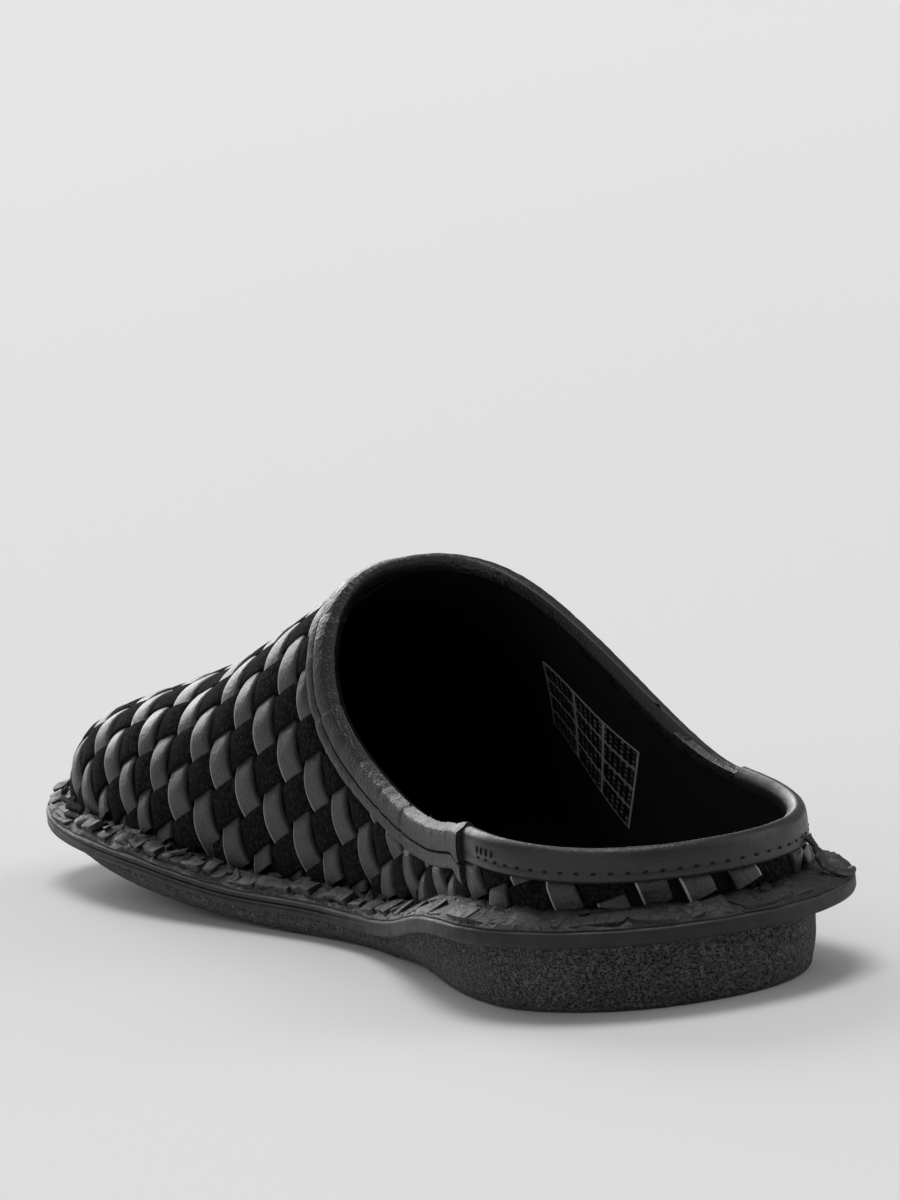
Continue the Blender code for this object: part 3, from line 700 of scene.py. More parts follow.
FINE_PLANES, FINE_ROWS = stations(80, 76, 36, 60), 90
OUT_GRID = skin_grid(FINE_PLANES, FINE_ROWS, 0.0)
IN_GRID = skin_grid(FINE_PLANES, FINE_ROWS, WALL)


def tree_of(grid):
    return BVHTree.FromPolygons(grid.reshape(-1, 3).tolist(), grid_faces(*grid.shape[:2]))


OUT_TREE, IN_TREE = tree_of(OUT_GRID), tree_of(IN_GRID)


def rim_loop(grid):
    """The collar edge on a grid of the last, as an ordered loop from the heel by the left side."""
    g = above_collar(grid.reshape(-1, 3)).reshape(grid.shape[:2])
    found = []
    for here, g0, there, g1 in ((grid[:, :-1], g[:, :-1], grid[:, 1:], g[:, 1:]),
                                (grid, g, np.roll(grid, -1, 0), np.roll(g, -1, 0))):
        cross = (g0 < 0) != (g1 < 0)
        t = (g0 / (g0 - g1 + 1e-12))[..., None]
        found.append((here + (there - here) * t)[cross])
    points = np.vstack(found)
    angle = np.arctan2(points[:, 0] - RIM_EYE[0], RIM_EYE[1] - points[:, 1])
    order = np.argsort(-angle)
    angle, points = -angle[order], points[order]
    even = np.linspace(-math.pi, math.pi, 721)[:-1]
    loop = np.column_stack([np.interp(even, angle, points[:, k], period=2 * math.pi) for k in range(3)])
    for _ in range(3):
        loop = (np.roll(loop, 1, 0) + 2 * loop + np.roll(loop, -1, 0)) / 4
    return along_loop(loop, 720)


RIM = rim_loop(OUT_GRID)


# The lining: how far inside the wall it lies and under the collar edge it ends, its thickness and rows.
LINING_IN, LINING_BELOW, LINING_T, LINING_ROWS = 0.15, 2.3, 0.5, 44


def make_lining():
    """Inner skin of the upper, from the foot to the collar or the ridge."""
    planes = stations(64, 96, 28, 40)
    lines = []
    for kind, where in planes:
        fine = section(kind, where, 200, WALL + LINING_IN)[0]
        cut = above_collar(fine) > -LINING_BELOW
        last = int(np.argmax(cut)) if cut.any() else len(fine) - 1
        lines.append(between(np.linspace(0, max(last, 4), LINING_ROWS), np.arange(len(fine)), fine))
    faces = [f[::-1] for f in grid_faces(len(planes), LINING_ROWS)]
    item = add_piece("lining", np.vstack(lines), faces, LINING, ("upper",), angle=60.0)
    work = bmesh.new()
    work.from_mesh(item.data)
    bmesh.ops.remove_doubles(work, verts=work.verts, dist=1e-5)
    bmesh.ops.dissolve_degenerate(work, edges=work.edges, dist=1e-6)
    work.to_mesh(item.data)
    work.free()
    thick = item.modifiers.new("thickness", "SOLIDIFY")
    thick.thickness = LINING_T * MM
    thick.offset = 0.0
    bpy.ops.object.modifier_apply(modifier=thick.name)


def ring_stack(rings):
    """Loops stacked from below to above, closed across at both ends."""
    n = len(rings[0])
    faces = tube_faces(len(rings), n, 0)[:-2]
    for base, turned in ((0, False), ((len(rings) - 1) * n, True)):
        for i in range(n // 2):
            loop = [base + i, base + i + 1, base + (n - i - 1) % n, base + (n - i) % n]
            loop = list(dict.fromkeys(loop))
            faces.append(tuple(loop if turned else loop[::-1]))
    return np.vstack(rings), [f[::-1] for f in faces]


def level_ring(ring, depth, height):
    """A loop at an inset, with its height worked out from its own distance along the shoe."""
    loop = inset(ring, depth)
    return np.column_stack([loop, height(loop[:, 1])])


SOLE_STEPS, INSOLE_STEPS = 640, 320
# Underside of the outsole from its middle to its edge: inset from the tread and rise.
OUTSOLE_UNDER = [(14.0, 0.0), (6.0, 0.0), (2.2, 0.0), (1.0, 0.02), (0.4, 0.3)]
OUTSOLE_ROWS, OUTSOLE_BULGE, BULGE_TOP = 15, 0.55, 0.86
# Share of the lumps that each loop of the outsole takes, from the underside up.
LUMP_SHARE = [0.0] * 4 + [0.6] + [1.0] * 14 + [0.3]
# Edge of the midsole from below: inset, rise, whether it is a groove of the forefoot, and wear.
MIDSOLE_EDGE = [(1.6, 0.0, 0, 0.0), (0.7, 0.05, 0, 0.0), (0.22, 0.25, 0, 0.0), (0.0, 0.75, 0, 0.0),
                (0.0, 1.20, 0, 0.0), (0.16, 1.38, 1, 0.0), (0.02, 1.56, 0, 0.0), (0.0, 1.95, 0, 0.0),
                (0.40, 2.16, 1, 0.0), (0.04, 2.38, 0, 0.0), (0.0, 2.75, 0, 0.0), (0.18, 3.12, 0, 0.55),
                (0.6, 3.34, 0, 0.55), (1.3, 3.40, 0, 0.0), (5.0, 3.42, 0, 0.0), (9.5, 3.42, 0, 0.0)]
GROOVE_FROM, MIDSOLE_WAVE = (95.0, 150.0), 0.12
# Edge of the insole from below: inset and rise.
INSOLE_EDGE = [(0.0, 0.1), (0.0, 1.6), (0.25, 2.2), (0.8, 2.55), (1.8, 2.62), (9.0, 2.40), (18.0, 2.1)]
INSOLE_GAP, INSOLE_TOE_IN, INSOLE_TOE_RUN = 0.7, 1.8, 50


def make_outsole():
    ring = along_loop(PLAN, SOLE_STEPS)
    y = ring[:, 1]
    tread, block = tread_in(y), block_in(y)
    low = level_ring(ring, tread, lambda v: ground_rise(v) + 1.0)[:, 2]
    high = level_ring(ring, block, lambda v: flange_under(v) - 0.05)[:, 2]
    rings = [level_ring(ring, tread + d, lambda v, r=r: ground_rise(v) + r) for d, r in OUTSOLE_UNDER]
    for share in np.linspace(0, 1, OUTSOLE_ROWS):
        bulge = OUTSOLE_BULGE * math.sin(math.pi * min(share / BULGE_TOP, 1.0))
        loop = inset(ring, tread + (block - tread) * share - bulge)
        rings.append(np.column_stack([loop, low + (high - low) * share]))
    points, faces = ring_stack(rings)
    out = np.tile(np.column_stack([ring_out(ring), np.zeros(len(ring))]), (len(rings), 1))
    for i, side in enumerate(np.repeat(LUMP_SHARE, len(ring))):
        if side > 0:
            v = Vector(points[i])
            lump = 0.10 * noise.noise(v * 0.9) + 0.13 * noise.noise(v * 0.25)
            points[i] += out[i] * lump * side
    add_piece("outsole_block", points, faces, RUBBER, ("outsole",))


def make_midsole():
    ring = along_loop(PLAN, SOLE_STEPS)
    fore = smooth_step(ring[:, 1], *GROOVE_FROM)
    wave = np.array([noise.noise((v[0] * 0.06, v[1] * 0.06, 2.0)) for v in ring])
    rings = []
    for depth, rise, groove, _ in MIDSOLE_EDGE:
        d = depth * (fore if groove else 1.0) - MIDSOLE_WAVE * wave
        rings.append(level_ring(ring, d, lambda v, r=rise: flange_under(v) + r))
    points, faces = ring_stack(rings)
    wear_and_light = np.repeat([row[3] for row in MIDSOLE_EDGE], len(ring))
    add_piece("midsole_edge", points, faces, WELT, ("midsole",), wear_and_light, 55.0)


def make_insole():
    ring = along_loop(PLAN, INSOLE_STEPS)
    extra = INSOLE_TOE_IN * smooth_step(ring[:, 1], TOE_AXIS, TOE_AXIS + INSOLE_TOE_RUN)
    depth = foot_in(ring[:, 1]) + WALL + INSOLE_GAP + extra
    rings = [level_ring(ring, depth + d, lambda v, r=r: floor_z(v) + r) for d, r in INSOLE_EDGE]
    points, faces = ring_stack(rings)
    add_piece("footbed", points, faces, FOOTBED, ("insole",))


def rim_frames(line):
    """Outward and downward directions along a stretch of the collar edge, smoothed."""
    out = []
    for p in line:
        spot, normal, _, _ = OUT_TREE.find_nearest(Vector(p))
        out.append(tuple(toward(normal, spot - Vector((*RIM_EYE, 20.0)))))
    out = np.array(out)
    for _ in range(12):
        padded = np.vstack([out[:1], out, out[-1:]])
        out = (padded[:-2] + 2 * padded[1:-1] + padded[2:]) / 4
    out = unit(out)
    down = unit(np.cross(out, np.gradient(line, axis=0)))
    down[above_collar(line + down * 3.0) > above_collar(line - down * 3.0)] *= -1
    return out, down


# Section of the folded bands: share of the way down and rise off the wall, outside from the top.
FRONT_BAND = [(0.02, 1.15), (0.10, 1.38), (0.22, 1.55), (0.36, 1.62), (0.48, 1.58), (0.568, 1.45),
              (0.578, 0.50), (0.605, 0.20), (0.632, 0.50), (0.642, 1.32), (0.74, 1.42), (0.86, 1.40),
              (0.95, 1.22), (1.0, 0.8), (1.0, 0.1)]
HEEL_BAND_OUT = [(0.02, 0.80), (0.10, 0.94), (0.25, 1.02), (0.42, 1.05), (0.55, 1.04), (0.63, 0.98),
                 (0.67, 0.90), (0.71, 0.97), (0.78, 1.03), (0.90, 1.02), (0.97, 0.90), (1.0, 0.6), (1.0, 0.1)]
BAND_IN = [(1.0, 0.1), (1.0, 0.35), (0.9, 0.5), (0.6, 0.55), (0.3, 0.5), (0.08, 0.4)]
# Turns of the fold over the edge, in degrees, and the row of the section where the outside starts.
FOLD_TURNS = (155, 130, 105, 80, 55, 30)
OUTSIDE = len(BAND_IN) + len(FOLD_TURNS)
# How far each band's fold stands off the wall, above its edge and off the inner skin.
FRONT_FOLD, HEEL_FOLD = (-0.50, 0.80, 0.2), (0.20, 0.90, 0.6)
# Inner depth of a band as a share of its outer depth.
BAND_INNER = 0.5
# Worn rows of the two sections, with the amount.
FRONT_WORN = ((slice(-4, -1), 0.5), (slice(6, 12), 0.35))
HEEL_WORN = ((slice(7, 11), 0.3), (slice(-3, -1), 0.35))


def band_loft(line, depth, outside, round_over, fold):
    """Sections of a band folded over the collar edge, its run and its outward directions.

    fold(run, share, rise) gives what is added to its outer face outward and downward.
    """
    out, down = rim_frames(line)
    run = run_along(line)
    sections = []
    for p, n, d, s in zip(line, out, down, run):
        spot, normal, drop = Vector(p), Vector(n), Vector(d)
        body = []
        for share, rise in BAND_IN:
            slide = min(fold(s, share, rise)[1], 0.0) * BAND_INNER
            hit, lean, _, _ = IN_TREE.find_nearest(spot + drop * (BAND_INNER * depth * share + slide))
            body.append(hit - toward(lean, normal).lerp(normal, 0.5) * (rise + round_over[2]))
        inner = IN_TREE.find_nearest(spot)[0]
        centre = (spot + inner) * 0.5
        half = (spot - inner).length * 0.5 + round_over[0]
        bulk = fold(s, 0.0, 1.0)[0]
        for turn in FOLD_TURNS:
            c, k = math.cos(math.radians(turn)), math.sin(math.radians(turn))
            body.append(centre + normal * ((half + bulk) * c + 0.25) - drop * ((round_over[1] + bulk) * k))
        for share, rise in outside:
            extra, slide = fold(s, share, rise)
            hit, lean, _, _ = OUT_TREE.find_nearest(spot + drop * (depth * share + slide))
            body.append(hit + toward(lean, normal).lerp(normal, 0.6) * (rise + extra))
        sections.append([tuple(v) for v in body])
    return np.array(sections), run, out


def add_band(name, band, stuff, node, wear_and_light_share):
    """A band as a piece, with the wear of some rows of its section."""
    grid = band[0]
    wear_and_light = np.zeros(grid.shape[:2])
    for rows, much in wear_and_light_share:
        wear_and_light[:, rows] = much
    faces = tube_faces(*grid.shape[:2], 0)
    add_piece(name, grid.reshape(-1, 3), faces, stuff, (node,), wear_and_light.ravel(), 60.0)


def band_spot(band, row, s):
    """Point of a band at a row of its section and a run along it."""
    return between(s, band[1], band[0][:, row])


def stitch_line(band, row, places, lift, size):
    """Sites of stitches along a row of a band, each raised off it by lift(run)."""
    sites = []
    for s in places:
        spot, normal = band_spot(band, row, s), between(s, *band[1:])
        sites.append((spot + normal * lift(s), band_spot(band, row, s + 1.0) - spot, normal, size))
    return sites


def rim_part(first, last, count):
    """A stretch of the collar edge between two shares of its length, from the left end of the front."""
    return between(np.linspace(first, last, count), np.linspace(0, 1, len(RIM_ROLLED)), RIM_ROLLED)


FRONT_AT = np.where(RIM[:, 1] > BIND_JOIN)[0]
FRONT_FIRST = FRONT_AT[np.argmax(np.diff(np.concatenate([[FRONT_AT[-1] - len(RIM)], FRONT_AT])))]
RIM_ROLLED = np.vstack([np.roll(RIM, -FRONT_FIRST, 0), RIM[FRONT_FIRST:FRONT_FIRST + 1]])
FRONT_SHARE = len(FRONT_AT) / len(RIM)


FRONT_STEPS, HEEL_STEPS, TUCK_STEPS = 300, 170, 8
# Creases across the front band: run from its left end and depth.
CREASES = [(9.0, 0.25), (22.0, 0.30), (36.0, 0.22), (51.0, 0.5), (66.0, 0.28), (79.0, 0.20), (97.0, 0.30),
           (118.0, 0.2)]
# The front band's edge: its lift round the peak with the reach of that, and how far its left side sinks.
PEAK_LIFT, PEAK_REACH, LEFT_SINK = 1.5, 26.0, 0.7
# Runs over which the front band thins to the heel band at its right end and flares at its left end.
THINS, FLARES = (3.0, 34.0), (0.0, 9.0)
FLARE_OUT, FLARE_DOWN, THIN_BY = 0.8, 2.6, 0.9
# Share of the collar edge over which the heel band runs on under the front band.
HEEL_TUCK = 8.0 / 560.0
# Rows of the needle holes outside, their spacing and their length, width and depth.
FRONT_GROOVE, FRONT_PITCH, FRONT_STITCH = OUTSIDE + 7, 2.7, (2.4, 0.6, 0.6)
HEEL_GROOVE, HEEL_PITCH, HEEL_STITCH = OUTSIDE + 6, 3.3, (1.25, 0.72, 0.4)
TACK_ROW, TACK_PITCH, TACK_STITCH = OUTSIDE + 3, 1.9, (1.7, 0.7, 0.4)
TACKS, TACK_END = 4, 14.5
# How far the holes stand off the leather: on the front band before and past its peak, and on the heel band.
LIFT_BEFORE, LIFT_PAST, LIFT_HEEL = 0.60, 0.05, 0.04


def make_front_binding():
    line = rim_part(0.0, FRONT_SHARE, FRONT_STEPS)
    steps = run_along(line)
    whole, peak = steps[-1], steps[np.argmax(line[:, 2])]
    line[:, 2] += PEAK_LIFT * np.exp(-((steps - peak) / PEAK_REACH)**2)
    sink = smooth_step(steps, 6.0, 30.0) * (1.0 - smooth_step(steps, peak - 60.0, peak - 15.0))
    line[:, 2] -= LEFT_SINK * sink

    def fold(s, share, rise):
        late = float(1.0 - smooth_step(whole - s, *THINS))
        flare = float(1.0 - smooth_step(s, *FLARES))
        wrinkle = 0.16 * noise.noise((s * 0.35, share * 1.6, 1.0))
        wrinkle += 0.03 * noise.noise((s * 1.1, share * 3.0, 4.0))
        crease = sum(deep * math.exp(-((s - at - 2.0 * share) / 0.8)**2) for at, deep in CREASES)
        extra = (wrinkle - crease - THIN_BY * late) * min(rise, 1.0)
        extra += FLARE_OUT * flare * (1.0 - 0.45 * share)
        return extra, (FLARE_DOWN * flare - (BIND_FRONT - BIND_HEEL) * late) * share

    def lift(s):
        return LIFT_BEFORE if s < peak + 20.0 else LIFT_PAST

    band = band_loft(line, BIND_FRONT, FRONT_BAND, FRONT_FOLD, fold)
    add_band("front_binding", band, BINDING, "collar_binding_front", FRONT_WORN)
    places = np.arange(3.0, whole - 3.0, FRONT_PITCH)
    stitches("front_stitches", stitch_line(band, FRONT_GROOVE, places, lift, FRONT_STITCH))


def make_heel_binding():
    line = np.vstack([rim_part(FRONT_SHARE - HEEL_TUCK, 1.0, HEEL_STEPS),
                      rim_part(0.0, HEEL_TUCK, TUCK_STEPS)[1:]])

    def fold(s, share, rise):
        return 0.06 * noise.noise((s * 0.2, share * 2.0, 7.0)), 0.0

    band = band_loft(line, BIND_HEEL, HEEL_BAND_OUT, HEEL_FOLD, fold)
    add_band("heel_binding", band, HEEL_BAND, "collar_binding_heel", HEEL_WORN)
    end = band[1][-1]
    places = np.arange(11.0, end - 13.0, HEEL_PITCH)
    sites = stitch_line(band, HEEL_GROOVE, places, lambda s: LIFT_HEEL, HEEL_STITCH)
    for k in range(TACKS):
        s = end - TACK_END - TACK_PITCH * k
        spot, low = band_spot(band, TACK_ROW, s), band_spot(band, TACK_ROW + 1, s)
        normal = between(s, *band[1:])
        sites.append((spot + normal * LIFT_HEEL, low - spot, normal, TACK_STITCH))
    stitches("heel_stitches", sites)


def take_shape():
    """Points and faces of the object just made, which is deleted again."""
    item = bpy.context.object
    mesh = item.data
    points = np.array([v.co[:] for v in mesh.vertices])
    faces = [tuple(f.vertices) for f in mesh.polygons]
    bpy.data.objects.remove(item)
    bpy.data.meshes.remove(mesh)
    return points, faces


def block_shape(cuts):
    """A cut strip end: a block with broken edges one unit long, wide and thick, shaped once and copied."""
    bpy.ops.object.select_all(action="DESELECT")
    bpy.ops.mesh.primitive_cube_add(size=1.0)
    bpy.ops.object.mode_set(mode="EDIT")
    bpy.ops.mesh.select_all(action="SELECT")
    bpy.ops.mesh.bevel(offset=0.09, segments=1, affect="EDGES")
    if cuts:
        bpy.ops.mesh.select_all(action="SELECT")
        bpy.ops.mesh.subdivide(number_cuts=cuts)
    bpy.ops.object.mode_set(mode="OBJECT")
    return take_shape()


def frame_at(at, ring, out):
    """Point and outward direction of a loop at a place counted in its steps."""
    i = at % len(ring)
    k = int(i)
    u = i - k
    m = (k + 1) % len(ring)
    n = out[k] * (1 - u) + out[m] * u
    return ring[k] * (1 - u) + ring[m] * u, n / np.linalg.norm(n)


# Lengths of the cut ends and the spaces between them: at the toe, along the sides and at the heel.
TOE_ENDS, TOE_SPACE = (4.5, 5.5, 6.5, 8.0), (0.3, 4.5)
SIDE_ENDS, SIDE_SPACE = (3.8, 4.4, 5.0, 6.2), (0.1, 1.1)
HEEL_ENDS, HEEL_SPACE = (6.5, 8.0, 10.0, 14.0), (-0.6, 1.2)
FORE_FROM, TOE_FROM = 90.0, 205.0
# Bed under the cut ends in section: share of the way from the upper to the flange edge, and rise.
RAND_BED = [(1.0, -0.35), (1.02, 0.30), (0.94, 0.95), (0.80, 1.40), (0.62, 1.75), (0.42, 2.1), (0.22, 2.5),
            (0.02, 2.9), (-0.25, 3.1), (-0.25, -0.3)]
# Steps round the flange, inset of the bed's edge, the value that keeps the bed's outer rows out of painted
# shade, and its share at the heel.
RAND_STEPS, BED_EDGE, BED_OUT_OF_SHADE, HEEL_DIM = 900, 0.7, 0.12, 0.35
# Place in plan of the stack of flat ends at the toe with the space it keeps, and the bare corner of the heel.
TIP, TIP_SPACE, TIP_ENDS = (-37.5, 260.0), 8.0, 3
BARE_RIGHT_OF, BARE_BEHIND = 18.0, 48.0


def make_rand():
    """Strip ends turned out on the flange: a lumpy bed, cut ends on it and torn slivers in the corner."""
    ring = along_loop(PLAN, RAND_STEPS)
    out = ring_out(ring)
    step = np.linalg.norm(ring[1] - ring[0])
    depth = foot_in(ring[:, 1])
    bed = []
    for share, rise in RAND_BED:
        lump = np.array([noise.noise((v[0] * 0.16, v[1] * 0.16, rise * 0.5)) for v in ring])
        fine = np.array([noise.noise((v[0] * 0.55, v[1] * 0.55, rise * 1.1)) for v in ring])
        loop = inset(ring, depth - (depth - BED_EDGE) * share + 0.4 * lump * (0.2 < share))
        z = floor_z(loop[:, 1]) - GAP + rise + (0.7 * lump + 0.5 * fine) * (rise > 0.9)
        bed.append(np.column_stack([loop, z]))
    points = [np.array(bed).transpose(1, 0, 2).reshape(-1, 3)]
    # Painted shade: only the outer rows of the bed get a value; the rows toward the upper get none and are
    # darkened, and at the heel the outer rows are partly darkened too.
    outer = np.array([BED_OUT_OF_SHADE if share > 0.75 else 0.0 for share, _ in RAND_BED])
    wear_and_light = [(outer[None] * np.where(ring[:, 1] > FORE_FROM, 1.0, HEEL_DIM)[:, None]).ravel()]
    faces = tube_faces(len(ring), len(RAND_BED), 0, True)
    count = len(points[0])
    shapes = {True: block_shape(1), False: block_shape(0)}

    def add_block(run, off, lift, size, turns, fine=True, rough=0.22, dim=1.0, curl=0.8):
        """One cut end, bent along the flange edge: off is its middle inward of the edge."""
        nonlocal count
        shape, shape_faces = shapes[fine]
        edge = np.sort(np.abs(shape), 1)[:, 1] > 0.38
        body = shape * np.array(size)
        body[:, 1] *= 1.0 + 0.22 * pick(-1, 1) * body[:, 0] / size[0] * 2
        body[:, 0] *= 1.0 + 0.15 * pick(-1, 1) * body[:, 1] / size[1] * 2
        body[:, 2] += size[2] * curl * pick(-0.5, 1.0) * (body[:, 0] / size[0])**2 * 2
        yaw, tilt, roll = (math.radians(turn) for turn in turns)
        turn = Matrix.Rotation(yaw, 3, "Z") @ Matrix.Rotation(-tilt, 3, "X") @ Matrix.Rotation(roll, 3, "Y")
        world = []
        for x, y, z in body @ np.array(turn).T:
            p, n = frame_at(run - x / step, ring, out)
            q = p + n * (y - off)
            v = Vector((q[0], q[1], float(floor_z(q[1])) + lift + z))
            world.append(v + noise.noise_vector(v * 0.45) * rough + noise.noise_vector(v * 1.3) * rough * 0.5)
        points.append(np.array([tuple(v) for v in world]))
        # Cut ends get light worn edges; the slivers' faces get no value, so the finish draws them in painted
        # shade in the corner. dim lowers the values at the heel, darkening the ends there.
        wear_and_light.append(dim * (np.where(edge, 0.8, 0.1) if fine else np.where(edge, 0.25, 0.0)))
        faces.extend(tuple(i + count for i in f) for f in shape_faces)
        count += len(world)

    def bare(spot):
        """The right corner of the heel, where only the thong lies on the flange."""
        return spot[0] > BARE_RIGHT_OF and spot[1] < BARE_BEHIND

    tip = int(np.argmin(np.hypot(*(ring - TIP).T)))
    s = 0.0
    while s < len(ring) - 3:
        y = frame_at(s, ring, out)[0][1]
        fore = y > FORE_FROM
        ends, space = (SIDE_ENDS, SIDE_SPACE) if fore else (HEEL_ENDS, HEEL_SPACE)
        if y > TOE_FROM:
            ends, space = TOE_ENDS, TOE_SPACE
        length = random.choice(ends) * pick(0.85, 1.15)
        at = s + 0.5 * length / step
        s += (length + pick(*space)) / step
        spot = frame_at(at, ring, out)[0]
        if abs(at - tip) * step < 0.5 * length + TIP_SPACE or bare(spot):
            continue
        deep = float(foot_in(spot[1])) * pick(0.42, 0.66)
        thick = pick(1.0, 2.0) if fore else pick(0.8, 1.4)
        off = pick(0.7, 1.6) + deep * 0.5
        lift = 0.85 + 0.35 * thick + pick(-0.3, 0.8 if fore else 0.2)
        turns = (pick(-7, 7), pick(12, 30) if fore else pick(5, 25), pick(-5, 5))
        dim, curl = (1.0, 0.8) if fore else (0.45, 1.6)
        add_block(at, off, lift, (length, deep, thick), turns, dim=dim, curl=curl)
    s = 0.0
    while s < len(ring) - 3:
        spot = frame_at(s, ring, out)[0]
        s += pick(1.6, 4.6) / step
        if bare(spot):
            continue
        lean = 1.0 if spot[1] > FORE_FROM else 0.35
        off = float(foot_in(spot[1])) - pick(-0.3, 3.0)
        lift = pick(1.4, 2.9) * (0.7 + 0.3 * lean)
        size = (pick(2.0, 5.5), pick(0.9, 2.2), pick(0.5, 1.0))
        turns = (pick(-50, 50), pick(0, 50) * lean, pick(-30, 30) * lean)
        add_block(s, off, lift, size, turns, False, 0.35)
    for k in range(TIP_ENDS):
        size = (12.0 - 2.5 * k, 5.5 - 0.8 * k, 0.5)
        turns = (pick(-5, 5), 9.0 + 4.0 * k, pick(-4, 4))
        add_block(tip + (k - 1) * 2.0 / step, 3.0 + 0.5 * k, 1.1 + 0.55 * k, size, turns, rough=0.2)
    add_piece("turned_ends", np.vstack(points), faces, CRACKED, ("rand",),
              np.concatenate(wear_and_light), 42.0)


def stitches(name, sites):
    """Needle holes as dark beads in one mesh, their dark painted shade inside the holes: each has a middle, a
    length and a rise direction, and sizes.
    """
    bpy.ops.object.select_all(action="DESELECT")
    bpy.ops.mesh.primitive_uv_sphere_add(segments=8, ring_count=5, radius=0.5)
    shape, shape_faces = take_shape()
    points, faces = [], []
    for spot, way, rise, size in sites:
        way = way / np.linalg.norm(way)
        rise = rise - way * rise.dot(way)
        rise = rise / np.linalg.norm(rise)
        wide = np.cross(rise, way)
        body = shape * np.array(size)
        faces.extend(tuple(i + len(points) * len(shape) for i in f) for f in shape_faces)
        points.append(spot + body[:, :1] * way + body[:, 1:2] * wide + body[:, 2:] * rise)
    add_piece(name, np.vstack(points), faces, HOLE, angle=60.0)


# The label: its corners, its distance inside the wall and off the lining, and its thickness.
LABEL_CORNERS = np.array([(34.0, 154.2, 49.3), (29.6, 100.7, 35.4), (32.0, 114.6, 17.6), (40.1, 165.5, 33.9)])
LABEL_IN, LABEL_OFF, LABEL_T = 0.4, 0.30, 0.2
# Its two rulings: greys of the two kinds of cell and of the lines, line width, cell width and cell height.
LABEL_RULES = [((0.0, 0.0, 1.0), 0.012, 0.332, 0.25), ((0.9, 0.0, 0.0), 0.016, 0.055, 0.062)]


def rule_grid(f, where, tones, gap, wide, high):
    """Generic ruling with no words."""
    rules = f.add("TexBrick", Scale=1.0, Mortar_Size=gap, Mortar_Smooth=0.1, Brick_Width=wide,
                  Row_Height=high)
    rules.offset = 0.0
    for key, tone in zip(("Color1", "Color2", "Mortar"), tones):
        rules.inputs[key].default_value = (tone, tone, tone, 1.0)
    f.join(where, rules.inputs["Vector"])
    return rules.outputs["Color"]


def make_label():
    """A plain ruled label with no words, pressed on the inside of the right wall."""
    corners = LABEL_CORNERS
    bpy.ops.object.select_all(action="DESELECT")
    bpy.ops.mesh.primitive_grid_add(x_subdivisions=36, y_subdivisions=16, size=1.0)
    patch = bpy.context.object
    patch.name = "size_label"
    for v in patch.data.vertices:
        a, b = v.co.x + 0.5, v.co.y + 0.5
        top = corners[0] * (1 - a) + corners[1] * a
        low = corners[3] * (1 - a) + corners[2] * a
        hit, lean, _, _ = LINING_TREE.find_nearest(Vector(low * (1 - b) + top * b))
        v.co = Vector(place([hit + toward(lean, Vector((-1, 0, 0))) * LABEL_OFF])[0])
    thick = patch.modifiers.new("thickness", "SOLIDIFY")
    thick.thickness = LABEL_T * MM
    bpy.ops.object.modifier_apply(modifier=thick.name)
    bpy.ops.object.shade_smooth_by_angle(angle=math.radians(50.0))
    f = Finish("label_print", Specular_IOR_Level=0.3)
    flat = f.add("UVMap")
    flat.uv_map = patch.data.uv_layers[0].name
    boxes, dashes = [rule_grid(f, flat.outputs["UV"], *rule) for rule in LABEL_RULES]
    print_on = f.mixed(0.75, boxes, dashes, "LIGHTEN")
    f.show("Base Color", f.mixed(print_on, (0.0028, 0.0028, 0.003, 1.0), (0.30, 0.30, 0.31, 1.0)))
    f.show("Roughness", f.patches(500.0, 0.45, 0.65))
    f.bumps((f.speckle(1800.0), 0.05))
    patch.data.materials.append(f.stuff)
    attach(patch, "root")


# Loose end of a strip at the right of the heel, twisted over the edge of the flange.
THONG = [(26.4, 20.6, 27.0), (27.2, 19.5, 25.2), (27.4, 18.0, 23.4), (27.3, 16.5, 21.9), (27.9, 15.2, 20.9),
         (29.3, 14.7, 20.1), (31.0, 15.4, 19.6), (32.6, 16.7, 19.3), (33.9, 18.4, 19.0), (34.6, 20.3, 18.6)]


THONG_STEPS, THONG_SIDES, THONG_HALF, THONG_THICK = 48, 12, 1.35, 0.6
# Steps at its start that face the heel, and the direction there.
THONG_TURN, THONG_BACK = 8, (0.5, -0.7, 0.2)


def make_thong():
    """A narrow leather end bent along a curve, flat in section."""
    t = np.arange(len(THONG))
    fine = np.linspace(0, len(THONG) - 1, THONG_STEPS)
    rows = np.array(THONG)
    line = np.column_stack([spline(list(zip(t, rows[:, k])))(fine) for k in range(3)])
    way = unit(np.gradient(line, axis=0))
    up = np.tile([0.0, 0.0, 1.0], (len(line), 1))
    up[:THONG_TURN] = THONG_BACK
    side = unit(np.cross(way, up))
    up = np.cross(side, way)
    turn = np.linspace(0, 2 * math.pi, THONG_SIDES + 1)[:-1]
    points = []
    for k, p in enumerate(line):
        twist = 0.5 * math.sin(k * 0.16)
        c, d = math.cos(twist), math.sin(twist)
        for a in turn:
            lump = 1.0 + 0.35 * noise.noise((k * 0.35, 1.3 * math.cos(a), 2.0))
            x = THONG_HALF * lump * abs(math.cos(a))**0.7 * np.sign(math.cos(a))
            z = THONG_THICK * lump * math.sin(a)
            points.append(p + side[k] * (x * c - z * d) + up[k] * (x * d + z * c))
    wear_and_light = np.tile(np.where(np.abs(np.cos(turn)) > 0.8, 0.9, 0.2), len(line))
    faces = tube_faces(len(line), len(turn), 0)
    add_piece("heel_thong", np.array(points), faces, CRACKED, (), wear_and_light, 60.0)


